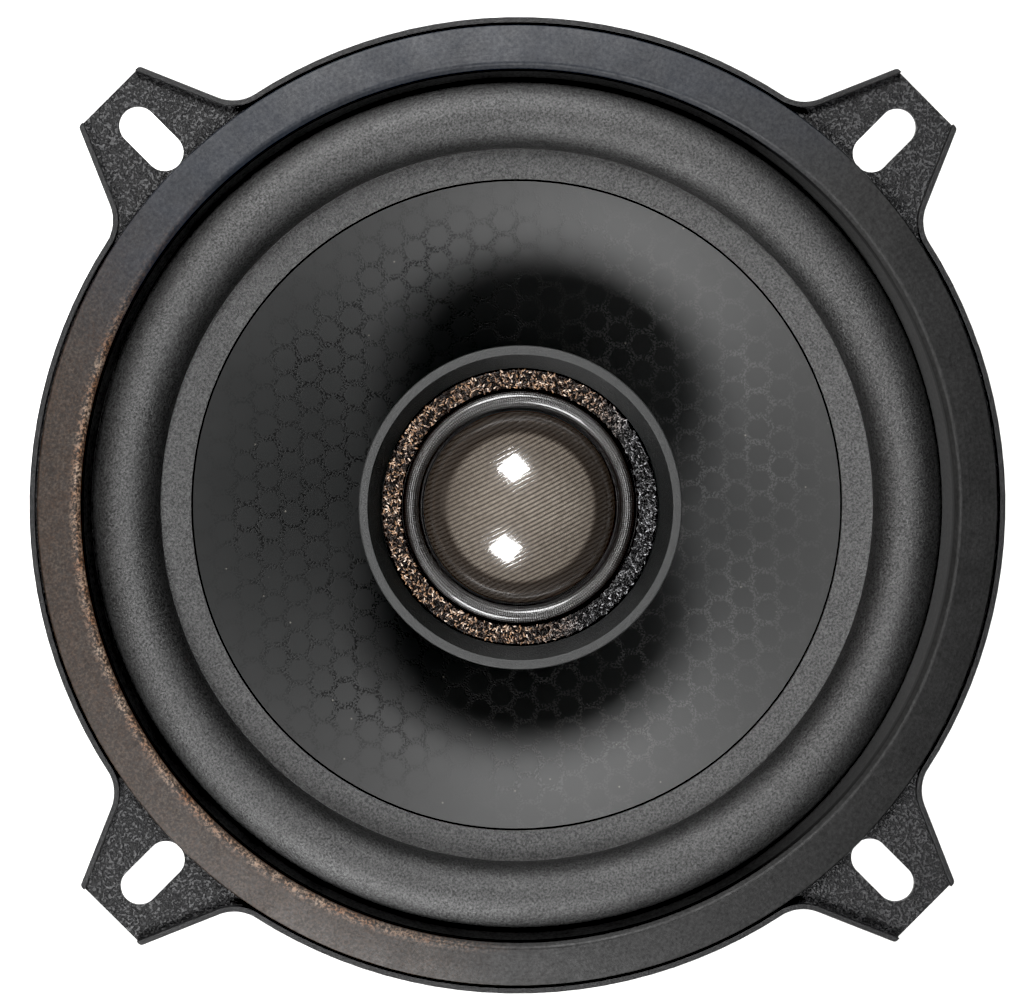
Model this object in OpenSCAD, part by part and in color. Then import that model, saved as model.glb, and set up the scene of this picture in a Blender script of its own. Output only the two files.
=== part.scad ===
// Coaxial car loudspeaker of the 13 cm class: a cone driver with a dome tweeter on its axis.
// The origin is the centre of the mounting plane, the rear face of the flange.
// +Z is the way the sound leaves. The ears lie on the X and Y axes, the terminals between +X and -Y.

/* [Flange] */
// Radius of the round flange
flange_r = 65; // [64:0.5:66]
// Thickness of the pressed steel sheet
sheet_t = 0.9; // [0.8:0.05:1]
// Height of the upturned rim above the mounting plane
rim_h = 2.2; // [1.8:0.1:2.6]
// Width of the upturned rim
rim_w = 0.7; // [0.6:0.1:0.8]
// Distance from the centre to an ear's tip
ear_tip = 76.9; // [76:0.1:78]
// Half the width of an ear at its tip
ear_half_w = 5.65; // [5.4:0.05:6]
// Angle at which an ear's sides spread towards the flange
ear_spread = 23.4; // [21:0.1:25]
// Radius of the blend from an ear's side into the flange
ear_blend_r = 5.5; // [4:0.5:6]
// Radius of an ear's tip corners
ear_corner_r = 0.6; // [0.3:0.1:1]
// Distance from the centre to a slot's middle
slot_at = 69.1; // [68.9:0.1:69.5]
// Width of a slot
slot_w = 5; // [4.4:0.1:5.4]
// Length of a slot, end to end
slot_len = 10; // [8:0.5:11]

/* [Basket] */
// Outer radius of the step that drops into the panel's cut-out
register_r = 60.9; // [60.5:0.1:61.2]
// Depth of that step behind the mounting plane
step_depth = 2.4; // [2.3:0.1:2.5]
// Outer radius of the bowl under the step
bowl_top_r = 56.4; // [56.2:0.1:56.6]
// Outer radius of the bowl at the spider ledge
bowl_low_r = 45; // [44.5:0.5:45.5]
// Depth of the spider ledge's underside
ledge_depth = 24.9; // [24.6:0.1:25.2]
// Width of a bowl window
window_w = 24; // [20:1:25]
// Height of a bowl window
window_h = 15; // [12:1:16]
// Angle between an ear and the middle of the window beside it
window_angle = 19; // [18:0.5:20]

/* [Suspension] */
// Radius of the surround roll's inner foot
roll_in_r = 48.3; // [48:0.1:48.6]
// Radius of the surround roll's outer foot
roll_out_r = 56.7; // [56.4:0.1:57]
// Rise of the roll above the line between its feet
roll_rise = 3.9; // [3.2:0.1:4]
// Thickness of the surround's rubber
rubber_t = 0.7; // [0.5:0.1:0.8]
// Number of corrugations in the spider
spider_waves = 5; // [4:1:6]
// Height of a spider corrugation above its middle
wave_h = 0.8; // [0.5:0.1:0.9]

/* [Cone] */
// Radius of the cone's curved part
cone_r = 43.8; // [43.5:0.1:44]
// Depth of the curved part from its edge to the neck
cone_depth = 14.6; // [13.5:0.1:15]
// Thickness of the cone
cone_t = 0.55; // [0.4:0.05:0.6]
// Share of the depth that is straight; the rest is flare
cone_straight = 0.75; // [0.7:0.05:0.95]

/* [Motor] */
// Inner radius of the voice coil's former
coil_r = 12.75; // [12.7:0.05:12.8]
// Height of the winding
winding_h = 9; // [7:0.5:10]
// Thickness of the top plate
top_plate_t = 4; // [3:0.5:5]
// Outer radius of the top plate
top_plate_r = 36; // [35:0.5:37]
// Outer radius of the ring magnet
magnet_r = 40; // [38:0.5:41]
// Thickness of the ring magnet
magnet_t = 14.5; // [12:0.5:15]
// Thickness of the back plate
back_plate_t = 5; // [4.5:0.5:6]
// Wall of the rubber boot round the magnet
boot_t = 1.5; // [1.2:0.1:2]

/* [Tweeter] */
// Outer radius of the tweeter's housing
housing_r = 21.4; // [21:0.1:21.8]
// Height of the housing's rim above the mounting plane
housing_top = 5.9; // [5.6:0.1:6.5]
// Radius of the dome at its foot
dome_r = 12.7; // [12.6:0.05:12.75]
// Radius of the sphere that the dome is cut from
dome_sphere_r = 15; // [14:0.5:18]
// Radius of the post that carries the tweeter
post_r = 5; // [4.5:0.1:6]

/* [Terminals] */
// Distance of each spade from the middle of the terminal board
spade_at = 6.6; // [6.5:0.1:7]
// Width of the positive spade
wide_spade = 6.3; // [6:0.1:6.3]
// Width of the negative spade
narrow_spade = 4.8; // [4.6:0.1:5]
// Thickness of the spades
spade_t = 0.8; // [0.6:0.1:0.8]

/* [Hidden] */
$fn = 96;

far = 200;             // longer than anything here, for cutting
bite = 0.03;           // how far an outline runs into the ring it joins
ear_count = 4;
terminal_angle = -45;  // direction of the terminal board

// Heights on the axis, front to back
land_top = rubber_t - step_depth + sheet_t;      // surround's outer land, on the step
edge_z = -3.4;                                   // front of the cone's flat edge
cone_edge_out = 47.8;                            // outer radius of that flat edge
neck_z = edge_z - cone_depth;
ledge_z = sheet_t - ledge_depth;                 // front of the spider ledge
seat_z = -33.9;                                  // rear of the basket, front of the top plate
plate_rear = seat_z - top_plate_t;
magnet_rear = plate_rear - magnet_t;
back_rear = magnet_rear - back_plate_t;
boot_rear = back_rear - boot_t;

// Bowl
bowl_slope = (bowl_top_r - bowl_low_r) / (ledge_depth - step_depth);
bowl_gap = sheet_t * sqrt(1 + bowl_slope * bowl_slope);  // the sheet, measured level
collar_top_r = 38.4;
collar_low_r = 37;
collar_gap = 0.91;
seat_hole_r = 19;
window_mid_z = -13.6;
window_corner = 3;
vent_angle = 22.5;
vent_w = 10;
vent_h = 4;
vent_corner = 1.9;
vent_z = -29.5;
cut_from = [38, 32];        // where the cutters of windows and vents start, inside the walls
spider_out_r = bowl_low_r - 1.2;
land_out_r = register_r - sheet_t - 0.6;

// Gasket
gasket_in_r = 57;
gasket_lip = [58.1, 2.3];   // radius and height of its rounded inner edge
gasket_crest = [59.4, 2.95];
gasket_out = [64, 1.75];
gasket_tail_r = register_r - sheet_t - 0.1;

// Gap and coil
former_t = 0.2;
winding_t = 0.5;
pole_r = 12.4;
pole_bevel = 0.6;
plate_edge_r = top_plate_r + 0.5;   // back plate
plate_edge_bevel = 2.4;
neck_h = 2.4;
neck_t = 0.5;
plate_bore_r = 13.85;
magnet_bore_r = 20.5;
winding_mid = seat_z - top_plate_t / 2;
rivet_at = 28;
rivet_r = 2.4;
rivet_head_r = 4;
rivet_head_h = 1.2;
rivet_foot = plate_rear + 1;
rivet_count = 4;
rivet_turn = 22.5;

// Post and its nut
spigot_r = 4;
wire_bore_r = 2;
nut_across = 13;
nut_t = 3.2;
washer_t = 0.8;
nut_recess_r = 8.6;
nut_recess = 4.4;
boot_hole_r = 13;
channel_w = 4;

// Tweeter levels
shelf_z = 3;                // shelf that the diaphragm is glued to
cloth_t = 0.3;
pot_r = 16;
pot_top = -1;
pot_rear = -8.7;
pot_wall_r = 13.3;
pot_floor_t = 1.5;
pole_plate_t = 2;
cap_t = 1.5;
cap_rear = pot_rear - cap_t;
dome_base = shelf_z + 0.2;
dome_centre = dome_base - sqrt(dome_sphere_r * dome_sphere_r - dome_r * dome_r);
dome_t = 0.25;
cup_in_r = 15.4;            // hole in the shelf
cup_step_r = 18.4;          // foot of the front wall
cup_step_z = 3.9;
cup_rim_w = 1.2;
post_flange_r = 9;
post_flange_t = 1.2;
tweeter_coil = [-3.4, -0.6];
tweeter_former_t = 0.15;
tweeter_winding_t = 0.25;
trim_in_r = 16;
trim_h = 0.8;
bead_mid_r = 14.4;
bead_r = 1;

// Terminal board
board_face = 56;            // outer face, from the axis
board_half_w = 13.2;
board_top = -11.6;
board_low = -24;
plate_t = 2.5;
tab_w = [5, 4.2];           // inward tabs of the positive and the negative spade
tab_in = 46.5;
spade_low = -32.5;
lug_at = 11.4;
lug_low = -18;
lug_half_w = 1.1;
lug_t = 0.6;
board_in = 44;              // where the board's inner parts start, inside the bowl's wall
board_rib_t = 1.8;
screw_z = -18.6;
screw_r = 1.4;
screw_head_r = 2.6;
screw_head_h = 1.8;
boss_r = 3;
pin_z = -16;                // rivets that hold the spades
pin_r = 1.1;
pin_head_r = 1.7;
capacitor_axis = [57.15, -7];
capacitor_r = 2.7;
capacitor_l = 12;
lead_r = 0.6;
wire_r = 0.5;
anchor_at = 23;
anchor_low = -14.4;
anchor_r = 1.6;
capacitor_lead_r = 0.3;

steel = "#2b2b2d";
zinc = "silver";
rubber = "#1d1d1f";

// ---- functions ----
function unit(v) = v / norm(v);
function wrap(a) = a - 360 * floor((a + 180) / 360);
function polar(r, a) = [r * cos(a), r * sin(a)];

// The corner at b between a and c, rounded to radius r
function corner(a, b, c, r, n) =
    r <= 0 ? [b] :
    let (
        u = unit(a - b),
        v = unit(c - b),
        half = acos(u * v) / 2,
        mid = b + unit(u + v) * r / sin(half),
        p = b + u * r / tan(half) - mid,
        q = b + v * r / tan(half) - mid,
        from = atan2(p[1], p[0]),
        turn = wrap(atan2(q[1], q[0]) - from)
    )
    [for (k = [0:n]) mid + polar(r, from + turn * k / n)];

// A closed outline of [x, y, corner radius] with its corners rounded
function rounded(pts, n = 4) =
    let (count = len(pts))
    [for (i = [0:count - 1])
        let (
            a = pts[(i + count - 1) % count],
            b = pts[i],
            c = pts[(i + 1) % count]
        )
        each corner([a[0], a[1]], [b[0], b[1]], [c[0], c[1]], b[2], n)];

// One side of an ear, from the tip to just inside the flange, moved in by inset
function ear_side(inset) =
    let (
        in = [-cos(ear_spread), sin(ear_spread)],
        out = [sin(ear_spread), cos(ear_spread)],
        tip = [ear_tip, ear_half_w],
        blend = ear_blend_r + inset,
        reach = flange_r - inset - bite + blend,
        start = tip + (blend - inset) * out,
        b = start * in,
        along = -b - sqrt(b * b - start * start + reach * reach),
        mid = start + along * in,
        a0 = atan2(-out[1], -out[0]),
        a1 = atan2(-mid[1], -mid[0]),
        corner_mid = [
            ear_tip - ear_corner_r,
            ear_half_w + ear_corner_r * (out[0] - 1) / out[1]
        ],
        tip_points = inset > 0
            ? [tip - inset * out - 4 * in]
            : [for (k = [0:4]) corner_mid + polar(ear_corner_r, (90 - ear_spread) * k / 4)]
    )
    concat(
        tip_points,
        [for (k = [0:8]) mid + polar(blend, a0 + (a1 - a0) * k / 8)],
        [unit(mid) * (flange_r - 6)]
    );

function flip(pts) = [for (i = [len(pts) - 1:-1:0]) [pts[i][0], -pts[i][1]]];

// Height of the cone's front face at radius r
function cone_z(r) =
    let (t = (cone_r - r) / (cone_r - coil_r))
    edge_z - cone_depth * (cone_straight * t + (1 - cone_straight) * t * t);

// Outer radius of the bowl at height z
function bowl_r(z) = bowl_top_r + (z + step_depth) * bowl_slope;

// Rings of a round wire along a route that never runs along Y
function ring(p, along, r, sides) =
    let (u = unit(cross(along, [0, 1, 0])), v = unit(cross(along, u)))
    [for (k = [0:sides - 1]) p + r * (cos(360 * k / sides) * u + sin(360 * k / sides) * v)];

function route_dir(route, i) =
    unit(route[min(i + 1, len(route) - 1)] - route[max(i - 1, 0)]);

// ---- shared shapes ----
// A round wire swept along a route of points
module wire(route, r, sides = 8) {
    last = len(route) - 1;
    points = [for (i = [0:last])
        each ring(route[i], i == 0 ? unit(route[1] - route[0])
            : i == last ? unit(route[last] - route[last - 1])
            : route_dir(route, i), r, sides)];
    walls = [for (i = [0:last - 1], k = [0:sides - 1])
        [i * sides + k, i * sides + (k + 1) % sides,
            (i + 1) * sides + (k + 1) % sides, (i + 1) * sides + k]];
    ends = [
        [for (k = [sides - 1:-1:0]) k],
        [for (k = [0:sides - 1]) last * sides + k]
    ];
    polyhedron(points = points, faces = concat(walls, ends));
}

// A tube round the axis between two heights
module tube(r_out, r_in, low, high) {
    translate([0, 0, low])
        difference() {
            cylinder(r = r_out, h = high - low);
            translate([0, 0, -1]) cylinder(r = r_in, h = high - low + 2);
        }
}

module at_terminals() {
    rotate([0, 0, terminal_angle]) children();
}

// A box given by its low and high corners
module block(low, high) {
    translate(low) cube(high - low);
}

// The flange's outline with its ears, moved in by inset
module flange_outline(inset) {
    circle(r = flange_r - inset);
    side = ear_side(inset);
    for (k = [0:ear_count - 1])
        rotate(k * 360 / ear_count) polygon(concat(flip(side), side));
}

module slot_outline() {
    run = (slot_len - slot_w) / 2;
    square([2 * run, slot_w], center = true);
    for (s = [-1, 1]) translate([s * run, 0]) circle(d = slot_w);
}

// A hole through the basket's wall, seen along its radius
module wall_hole(angle, z, w, h, r, from_r) {
    rotate([0, 0, angle])
        translate([from_r, 0, z])
            rotate([90, 0, 90])
                linear_extrude(30)
                    polygon(rounded([
                        [-w / 2, -h / 2, r], [w / 2, -h / 2, r],
                        [w / 2, h / 2, r], [-w / 2, h / 2, r]
                    ]));
}

// Everything inside the bowl's outer face, to fit pieces against it
module bowl_body() {
    rotate_extrude()
        polygon([
            [0, 0], [bowl_r(0), 0], [bowl_r(-ledge_depth), -ledge_depth], [0, -ledge_depth]
        ]);
}

// ---- frame ----
module basket() {
    outside = bowl_top_r - bowl_gap;
    color(steel)
        difference() {
            union() {
                linear_extrude(sheet_t)
                    difference() {
                        flange_outline(0);
                        circle(r = register_r - sheet_t / 2);
                        for (k = [0:ear_count - 1])
                            rotate(k * 360 / ear_count) translate([slot_at, 0]) slot_outline();
                    }
                translate([0, 0, sheet_t])
                    linear_extrude(rim_h - sheet_t)
                        difference() {
                            flange_outline(0);
                            flange_outline(rim_w);
                        }
                rotate_extrude()
                    polygon(rounded([
                        [register_r + 1, sheet_t, 0],
                        [register_r - sheet_t, sheet_t, 0.5],
                        [register_r - sheet_t, sheet_t - step_depth, 0.4],
                        [outside + sheet_t * bowl_slope, sheet_t - step_depth, 1.2],
                        [bowl_low_r - bowl_gap + sheet_t * bowl_slope, ledge_z, 0.6],
                        [collar_top_r - 0.77, ledge_z, 1.2],
                        [collar_low_r - 0.77, seat_z + sheet_t, 0.6],
                        [seat_hole_r, seat_z + sheet_t, 0],
                        [seat_hole_r, seat_z, 0],
                        [collar_low_r, seat_z, 1.4],
                        [collar_top_r, -ledge_depth, 0.4],
                        [bowl_low_r, -ledge_depth, 1.5],
                        [bowl_top_r, -step_depth, 0.4],
                        [register_r, -step_depth, 1.2],
                        [register_r, 0, 0],
                        [register_r + 1, 0, 0]
                    ]));
            }
            for (k = [0:ear_count - 1], s = [-1, 1]) {
                wall_hole(k * 90 + s * window_angle, window_mid_z, window_w, window_h,
                    window_corner, cut_from[0]);
                wall_hole(k * 90 + s * vent_angle, vent_z, vent_w, vent_h,
                    vent_corner, cut_from[1]);
            }
            for (k = [0:rivet_count - 1])
                rotate([0, 0, rivet_turn + k * 90])
                    translate([rivet_at, 0, seat_z - 1]) cylinder(r = rivet_r, h = 4);
            at_terminals() {
                for (i = [0, 1]) {
                    side = i == 0 ? 1 : -1;
                    block(
                        [board_in, side * spade_at - tab_w[i] / 2 - 0.3, board_top - 0.5],
                        [board_face + 2, side * spade_at + tab_w[i] / 2 + 0.3,
                            board_top + spade_t + 0.5]
                    );
                }
                translate([board_in, 0, screw_z]) rotate([0, 90, 0]) cylinder(r = screw_r, h = 10);
            }
        }
}

module plate_rivets() {
    floor_z = seat_z + sheet_t;
    color(zinc)
        for (k = [0:rivet_count - 1])
            rotate([0, 0, rivet_turn + k * 90])
                translate([rivet_at, 0, 0])
                    rotate_extrude()
                        polygon(rounded([
                            [0, rivet_foot, 0], [rivet_r, rivet_foot, 0],
                            [rivet_r, floor_z, 0], [rivet_head_r, floor_z, 0],
                            [rivet_head_r, floor_z + rivet_head_h, 0.9],
                            [0, floor_z + rivet_head_h, 0]
                        ]));
}

module front_gasket() {
    color(rubber)
        rotate_extrude()
            polygon(rounded([
                [gasket_out[0], sheet_t, 0],
                [gasket_out[0], gasket_out[1], 0.35],
                [gasket_crest[0], gasket_crest[1], 1.6],
                [gasket_lip[0], gasket_lip[1], 0.6],
                [gasket_in_r, land_top, 0],
                [gasket_tail_r, land_top, 0],
                [gasket_tail_r, sheet_t, 0]
            ], 5));
}

// ---- cone assembly and its suspension ----
// A half roll between two flat edges: its heights are those of each edge's front face
module roll_outline(mid, r, t, in_r, in_z, out_r, out_z) {
    steps = 16;
    a0 = 180 - asin((in_z - mid[1]) / (r + t / 2));
    a1 = asin((out_z - mid[1]) / (r + t / 2));
    b0 = 180 - asin((in_z - t - mid[1]) / (r - t / 2));
    b1 = asin((out_z - t - mid[1]) / (r - t / 2));
    front = [for (k = [0:steps]) mid + polar(r + t / 2, a0 + (a1 - a0) * k / steps)];
    rear = [for (k = [steps:-1:0]) mid + polar(r - t / 2, b0 + (b1 - b0) * k / steps)];
    polygon(concat(
        [[in_r, in_z]], front, [[out_r, out_z], [out_r, out_z - t]], rear, [[in_r, in_z - t]]
    ));
}

module surround() {
    inner = [roll_in_r, edge_z + rubber_t / 2];
    outer = [roll_out_r, land_top - rubber_t / 2];
    span = norm(outer - inner);
    r = (span * span / 4 + roll_rise * roll_rise) / (2 * roll_rise);
    level = unit([inner[1] - outer[1], outer[0] - inner[0]]);
    mid = (inner + outer) / 2 + level * (roll_rise - r);
    color(rubber)
        rotate_extrude()
            roll_outline(mid, r, rubber_t, cone_r + 0.1, edge_z + rubber_t, land_out_r, land_top);
}

// Outline of the cone's shell; it runs on forward when it serves to trim pieces behind it
module cone_outline(forward) {
    steps = 10;
    in_r = coil_r + former_t;
    radii = [for (k = [0:steps]) in_r + (cone_r - in_r) * k / steps];
    front = [for (r = radii) [r, cone_z(r) + forward]];
    rear = [for (i = [steps:-1:0]) [radii[i], cone_z(radii[i]) - cone_t]];
    polygon(concat(
        front,
        [[cone_edge_out, edge_z + forward], [cone_edge_out, edge_z - cone_t]],
        rear
    ));
}

module cone() {
    color("#3a3b3d") {
        rotate_extrude() cone_outline(0);
        tube(coil_r + former_t + neck_t, coil_r + former_t, neck_z - neck_h, neck_z - 0.1);
    }
}

module coil_former() {
    color("#8a5a2b")
        tube(coil_r + former_t, coil_r, winding_mid - winding_h / 2, neck_z + 0.6);
}

module coil_winding() {
    color("#9c4a1c")
        tube(coil_r + former_t + winding_t, coil_r + former_t,
            winding_mid - winding_h / 2, winding_mid + winding_h / 2);
}

module spider() {
    mid_z = ledge_z + 0.9;
    in_r = coil_r + former_t + 0.05;
    wave_in = in_r + 1.6;
    wave_out = 36.8;
    cloth = 0.5;
    steps = spider_waves * 8;
    wavy = [for (k = [0:steps])
        let (r = wave_in + (wave_out - wave_in) * k / steps)
        [r, mid_z - wave_h * sin(360 * spider_waves * k / steps)]];
    front = concat(
        [[in_r, mid_z + 1.4], [in_r + 0.5, mid_z + 1.4], [in_r + 0.8, mid_z]],
        wavy,
        [[collar_top_r, ledge_z + cloth], [spider_out_r, ledge_z + cloth]]
    );
    rear = concat(
        [[spider_out_r, ledge_z], [collar_top_r, ledge_z]],
        [for (k = [steps:-1:0]) wavy[k] - [0, cloth]],
        [[in_r, mid_z - cloth]]
    );
    color("#c9a227") rotate_extrude() polygon(concat(front, rear));
}

// Route of one flexible lead, from the cone to its terminal tab
function tinsel_route(y) = [
    [anchor_at, y, anchor_low], [anchor_at, y, -15.4], [24.3, y, -17.1], [26.8, y, -18.3],
    [30, y, -18.8], [33.2, y, -18.4], [36.2, y, -17.2], [39, y, -15.4], [41.6, y, -13.4],
    [44, y, -11.9], [45.4, y, -11.3], [tab_in, y, -11.2]
];

module tinsel_leads() {
    color("#b08d57")
        at_terminals()
            for (s = [-1, 1]) wire(tinsel_route(s * spade_at), lead_r);
}

module lead_anchors() {
    color("#6b4a2f")
        at_terminals()
            for (s = [-1, 1])
                difference() {
                    translate([anchor_at, s * spade_at, anchor_low]) cylinder(r = anchor_r, h = 4);
                    rotate_extrude() cone_outline(12);
                }
}

// ---- motor ----
module top_plate() {
    color(zinc)
        difference() {
            tube(top_plate_r, plate_bore_r, plate_rear, seat_z);
            for (k = [0:rivet_count - 1])
                rotate([0, 0, rivet_turn + k * 90])
                    translate([rivet_at, 0, rivet_foot]) cylinder(r = rivet_r, h = far);
        }
}

module ring_magnet() {
    bevel = 0.8;
    color("#3b3b3b")
        rotate_extrude()
            polygon([
                [magnet_bore_r, plate_rear], [magnet_r - bevel, plate_rear],
                [magnet_r, plate_rear - bevel], [magnet_r, magnet_rear + bevel],
                [magnet_r - bevel, magnet_rear], [magnet_bore_r, magnet_rear]
            ]);
}

// Back plate and pole in one piece, bored for the post and recessed for its nut
module back_plate() {
    color(zinc)
        rotate_extrude()
            polygon([
                [spigot_r, seat_z], [pole_r - pole_bevel, seat_z], [pole_r, seat_z - pole_bevel],
                [pole_r, magnet_rear], [plate_edge_r, magnet_rear],
                [plate_edge_r, back_rear + plate_edge_bevel],
                [plate_edge_r - plate_edge_bevel, back_rear], [nut_recess_r, back_rear],
                [nut_recess_r, back_rear + nut_recess], [spigot_r, back_rear + nut_recess]
            ]);
}

module magnet_boot() {
    in_r = magnet_r + 0.2;
    out_r = in_r + boot_t;
    edge_r = plate_edge_r + 0.1;
    color(rubber)
        difference() {
            rotate_extrude()
                polygon(rounded([
                    [in_r, plate_rear - 1, 0], [out_r, plate_rear - 1, 0.6],
                    [out_r, boot_rear, 2.6], [boot_hole_r, boot_rear, 0.5],
                    [boot_hole_r, back_rear, 0], [edge_r - plate_edge_bevel, back_rear, 0],
                    [edge_r, back_rear + plate_edge_bevel, 0], [edge_r, magnet_rear - 0.1, 0],
                    [in_r, magnet_rear - 0.1, 0]
                ]));
            at_terminals() {
                block([boot_hole_r - 2, -channel_w / 2, boot_rear - 1],
                    [out_r + 1, channel_w / 2, back_rear]);
                block([edge_r + 1, -channel_w / 2, boot_rear - 1],
                    [out_r + 1, channel_w / 2, boot_rear + 6]);
            }
        }
}

// ---- terminals ----
module terminal_board() {
    rib_at = board_half_w - 3;
    color("#26262a")
        difference() {
            at_terminals()
                difference() {
                    union() {
                        block([board_face - plate_t, -board_half_w, board_low],
                            [board_face, board_half_w, board_top]);
                        block([board_in, -board_half_w, board_top - 2],
                            [board_face, board_half_w, board_top]);
                        for (s = [-1, 1])
                            block([board_in, s * rib_at - board_rib_t / 2, board_low + 1],
                                [board_face - 1, s * rib_at + board_rib_t / 2, board_top - 1]);
                        translate([board_in, 0, screw_z])
                            rotate([0, 90, 0]) cylinder(r = boss_r, h = board_face - 1 - board_in);
                    }
                    translate([board_in - 4, 0, screw_z])
                        rotate([0, 90, 0]) cylinder(r = screw_r, h = 20);
                    for (s = [-1, 1]) {
                        spade_rivet_body(s);
                        lug_pin(s);
                    }
                }
            bowl_body();
        }
}

module board_screw() {
    color(zinc)
        at_terminals()
            difference() {
                union() {
                    translate([board_in + 1, 0, screw_z])
                        rotate([0, 90, 0]) cylinder(r = screw_r, h = board_face - board_in - 1);
                    translate([board_face, 0, screw_z])
                        rotate([0, 90, 0])
                            rotate_extrude()
                                polygon(rounded([
                                    [0, 0, 0], [screw_head_r, 0, 0],
                                    [screw_head_r, screw_head_h, 1.2], [0, screw_head_h, 0]
                                ]));
                }
                for (a = [0, 90])
                    translate([board_face + screw_head_h - 0.4, 0, screw_z])
                        rotate([a, 0, 0]) cube([1.2, 0.6, 3], center = true);
            }
}

module spade_rivet_body(side) {
    translate([board_face - 2, side * spade_at, pin_z])
        rotate([0, 90, 0]) cylinder(r = pin_r, h = 2 + spade_t);
}

// One spade: a blade down the board's face and a tab inwards through the basket
module spade(side, w, tab) {
    at_terminals()
        difference() {
            union() {
                block([board_face, side * spade_at - w / 2, spade_low + 1],
                    [board_face + spade_t, side * spade_at + w / 2, board_top + spade_t]);
                block([board_face, side * spade_at - w / 2 + 0.8, spade_low],
                    [board_face + spade_t, side * spade_at + w / 2 - 0.8, spade_low + 1]);
                block([tab_in, side * spade_at - tab / 2, board_top],
                    [board_face + spade_t, side * spade_at + tab / 2, board_top + spade_t]);
            }
            spade_rivet_body(side);
            translate([board_face - 1, side * spade_at, spade_low + 3.6])
                rotate([0, 90, 0]) cylinder(r = 0.85, h = 4);
        }
}

module positive_spade() {
    color(zinc) spade(1, wide_spade, tab_w[0]);
}

module negative_spade() {
    color(zinc) spade(-1, narrow_spade, tab_w[1]);
}

module spade_rivets() {
    color(zinc)
        at_terminals()
            for (s = [-1, 1]) {
                spade_rivet_body(s);
                translate([board_face + spade_t, s * spade_at, pin_z])
                    rotate([0, 90, 0])
                        rotate_extrude()
                            polygon(rounded([
                                [0, 0, 0], [pin_head_r, 0, 0], [pin_head_r, 0.7, 0.5], [0, 0.7, 0]
                            ]));
            }
}

module lug_pin(side) {
    block([board_face - 1.5, side * lug_at - 0.6, -15.6], [board_face, side * lug_at + 0.6, -14.4]);
}

module solder_lugs() {
    color(zinc)
        at_terminals()
            for (s = [-1, 1]) {
                lug_pin(s);
                block([board_face, s * lug_at - lug_half_w, lug_low],
                    [board_face + lug_t, s * lug_at + lug_half_w, board_top]);
            }
}

module crossover_capacitor() {
    color("#1f2a4a")
        at_terminals()
            translate([capacitor_axis[0], capacitor_l / 2, capacitor_axis[1]])
                rotate([90, 0, 0])
                    rotate_extrude()
                        polygon(rounded([
                            [0, 0, 0], [capacitor_r, 0, 0.5],
                            [capacitor_r, capacitor_l, 0.5], [0, capacitor_l, 0]
                        ]));
}

// Both capacitor leads: one to the positive tab, one to the lug on the other side
module capacitor_leads() {
    r = capacitor_lead_r;
    x = capacitor_axis[0];
    z = capacitor_axis[1];
    end = capacitor_l / 2;
    tab_z = board_top + spade_t;
    lug_x = board_face + lug_t / 2;
    color(zinc)
        at_terminals() {
            wire([[x, end, z], [x, end + 0.9, z - 0.15], [x - 0.1, end + 1.5, z - 0.8],
                [x - 0.5, end + 1.7, z - 2], [board_face, end + 1.7, tab_z + 0.9],
                [board_face, end + 1.7, tab_z]], r);
            wire([[x, -end, z], [x, -end - 2, z - 0.15], [x - 0.1, -end - 4.3, z - 0.7],
                [x - 0.4, -end - 5.2, z - 2], [lug_x, -lug_at, board_top + 1.2],
                [lug_x, -lug_at, board_top]], r);
        }
}

// Twin wire from the tweeter, down through the post, along the boot's channel and up to the lugs
function tweeter_route(s) = [
    [0.7, 0.7 * s, pot_rear], [0.7, 0.7 * s, -30], [0.7, 0.7 * s, -54], [0.75, 0.7 * s, -56.8],
    [1.5, 0.7 * s, -57.8], [3, 0.7 * s, -58.15], [20, 0.7 * s, -58.15], [36, 0.7 * s, -58.15],
    [40.4, 0.7 * s, -57.9], [42.2, 0.7 * s, -56.4], [42.7, 0.7 * s, -53], [42.7, 0.7 * s, -42],
    [43.4, 1 * s, -38], [46, 2 * s, -33.5], [50, 5 * s, -30], [53.2, 8.6 * s, -27.6],
    [55, 10.6 * s, -26.2], [56.2, 11.3 * s, -25.4], [56.6, 11.4 * s, -24.3],
    [56.6, 11.4 * s, -21], [56.6, 11.4 * s, lug_low]
];

module tweeter_leads() {
    color("#7a1d1d")
        at_terminals()
            for (s = [-1, 1]) wire(tweeter_route(s), wire_r);
}

// ---- tweeter ----
module tweeter_post() {
    low = cap_rear - post_flange_t;
    color("#44464a")
        rotate_extrude()
            polygon([
                [wire_bore_r, cap_rear], [post_flange_r, cap_rear], [post_flange_r, low],
                [post_r + 0.8, low - 0.8], [post_r, low - 2.4],
                [post_r, seat_z], [spigot_r, seat_z], [spigot_r, back_rear + 0.2],
                [wire_bore_r, back_rear + 0.2]
            ]);
}

module post_washer() {
    high = back_rear + nut_recess;
    color(zinc) tube(nut_recess_r - 1, spigot_r, high - washer_t, high);
}

module post_nut() {
    high = back_rear + nut_recess - washer_t;
    color(zinc)
        difference() {
            translate([0, 0, high - nut_t]) cylinder(d = nut_across / cos(30), h = nut_t, $fn = 6);
            translate([0, 0, high - far / 2]) cylinder(r = spigot_r, h = far);
        }
}

module tweeter_housing() {
    bore_r = pot_r + 0.1;
    color("#2a2b2d")
        rotate_extrude()
            polygon(rounded([
                [cup_in_r, pot_top, 0], [cup_in_r, shelf_z, 0],
                [cup_step_r, shelf_z, 0], [cup_step_r, cup_step_z, 0],
                [housing_r - cup_rim_w, housing_top, 0.15], [housing_r, housing_top, 0.3],
                [housing_r, 4.3, 0.6], [20.9, -2, 3], [19.8, -6.5, 3], [17.9, cap_rear, 0.8],
                [bore_r, cap_rear, 0], [bore_r, pot_top, 0]
            ]));
}

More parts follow.
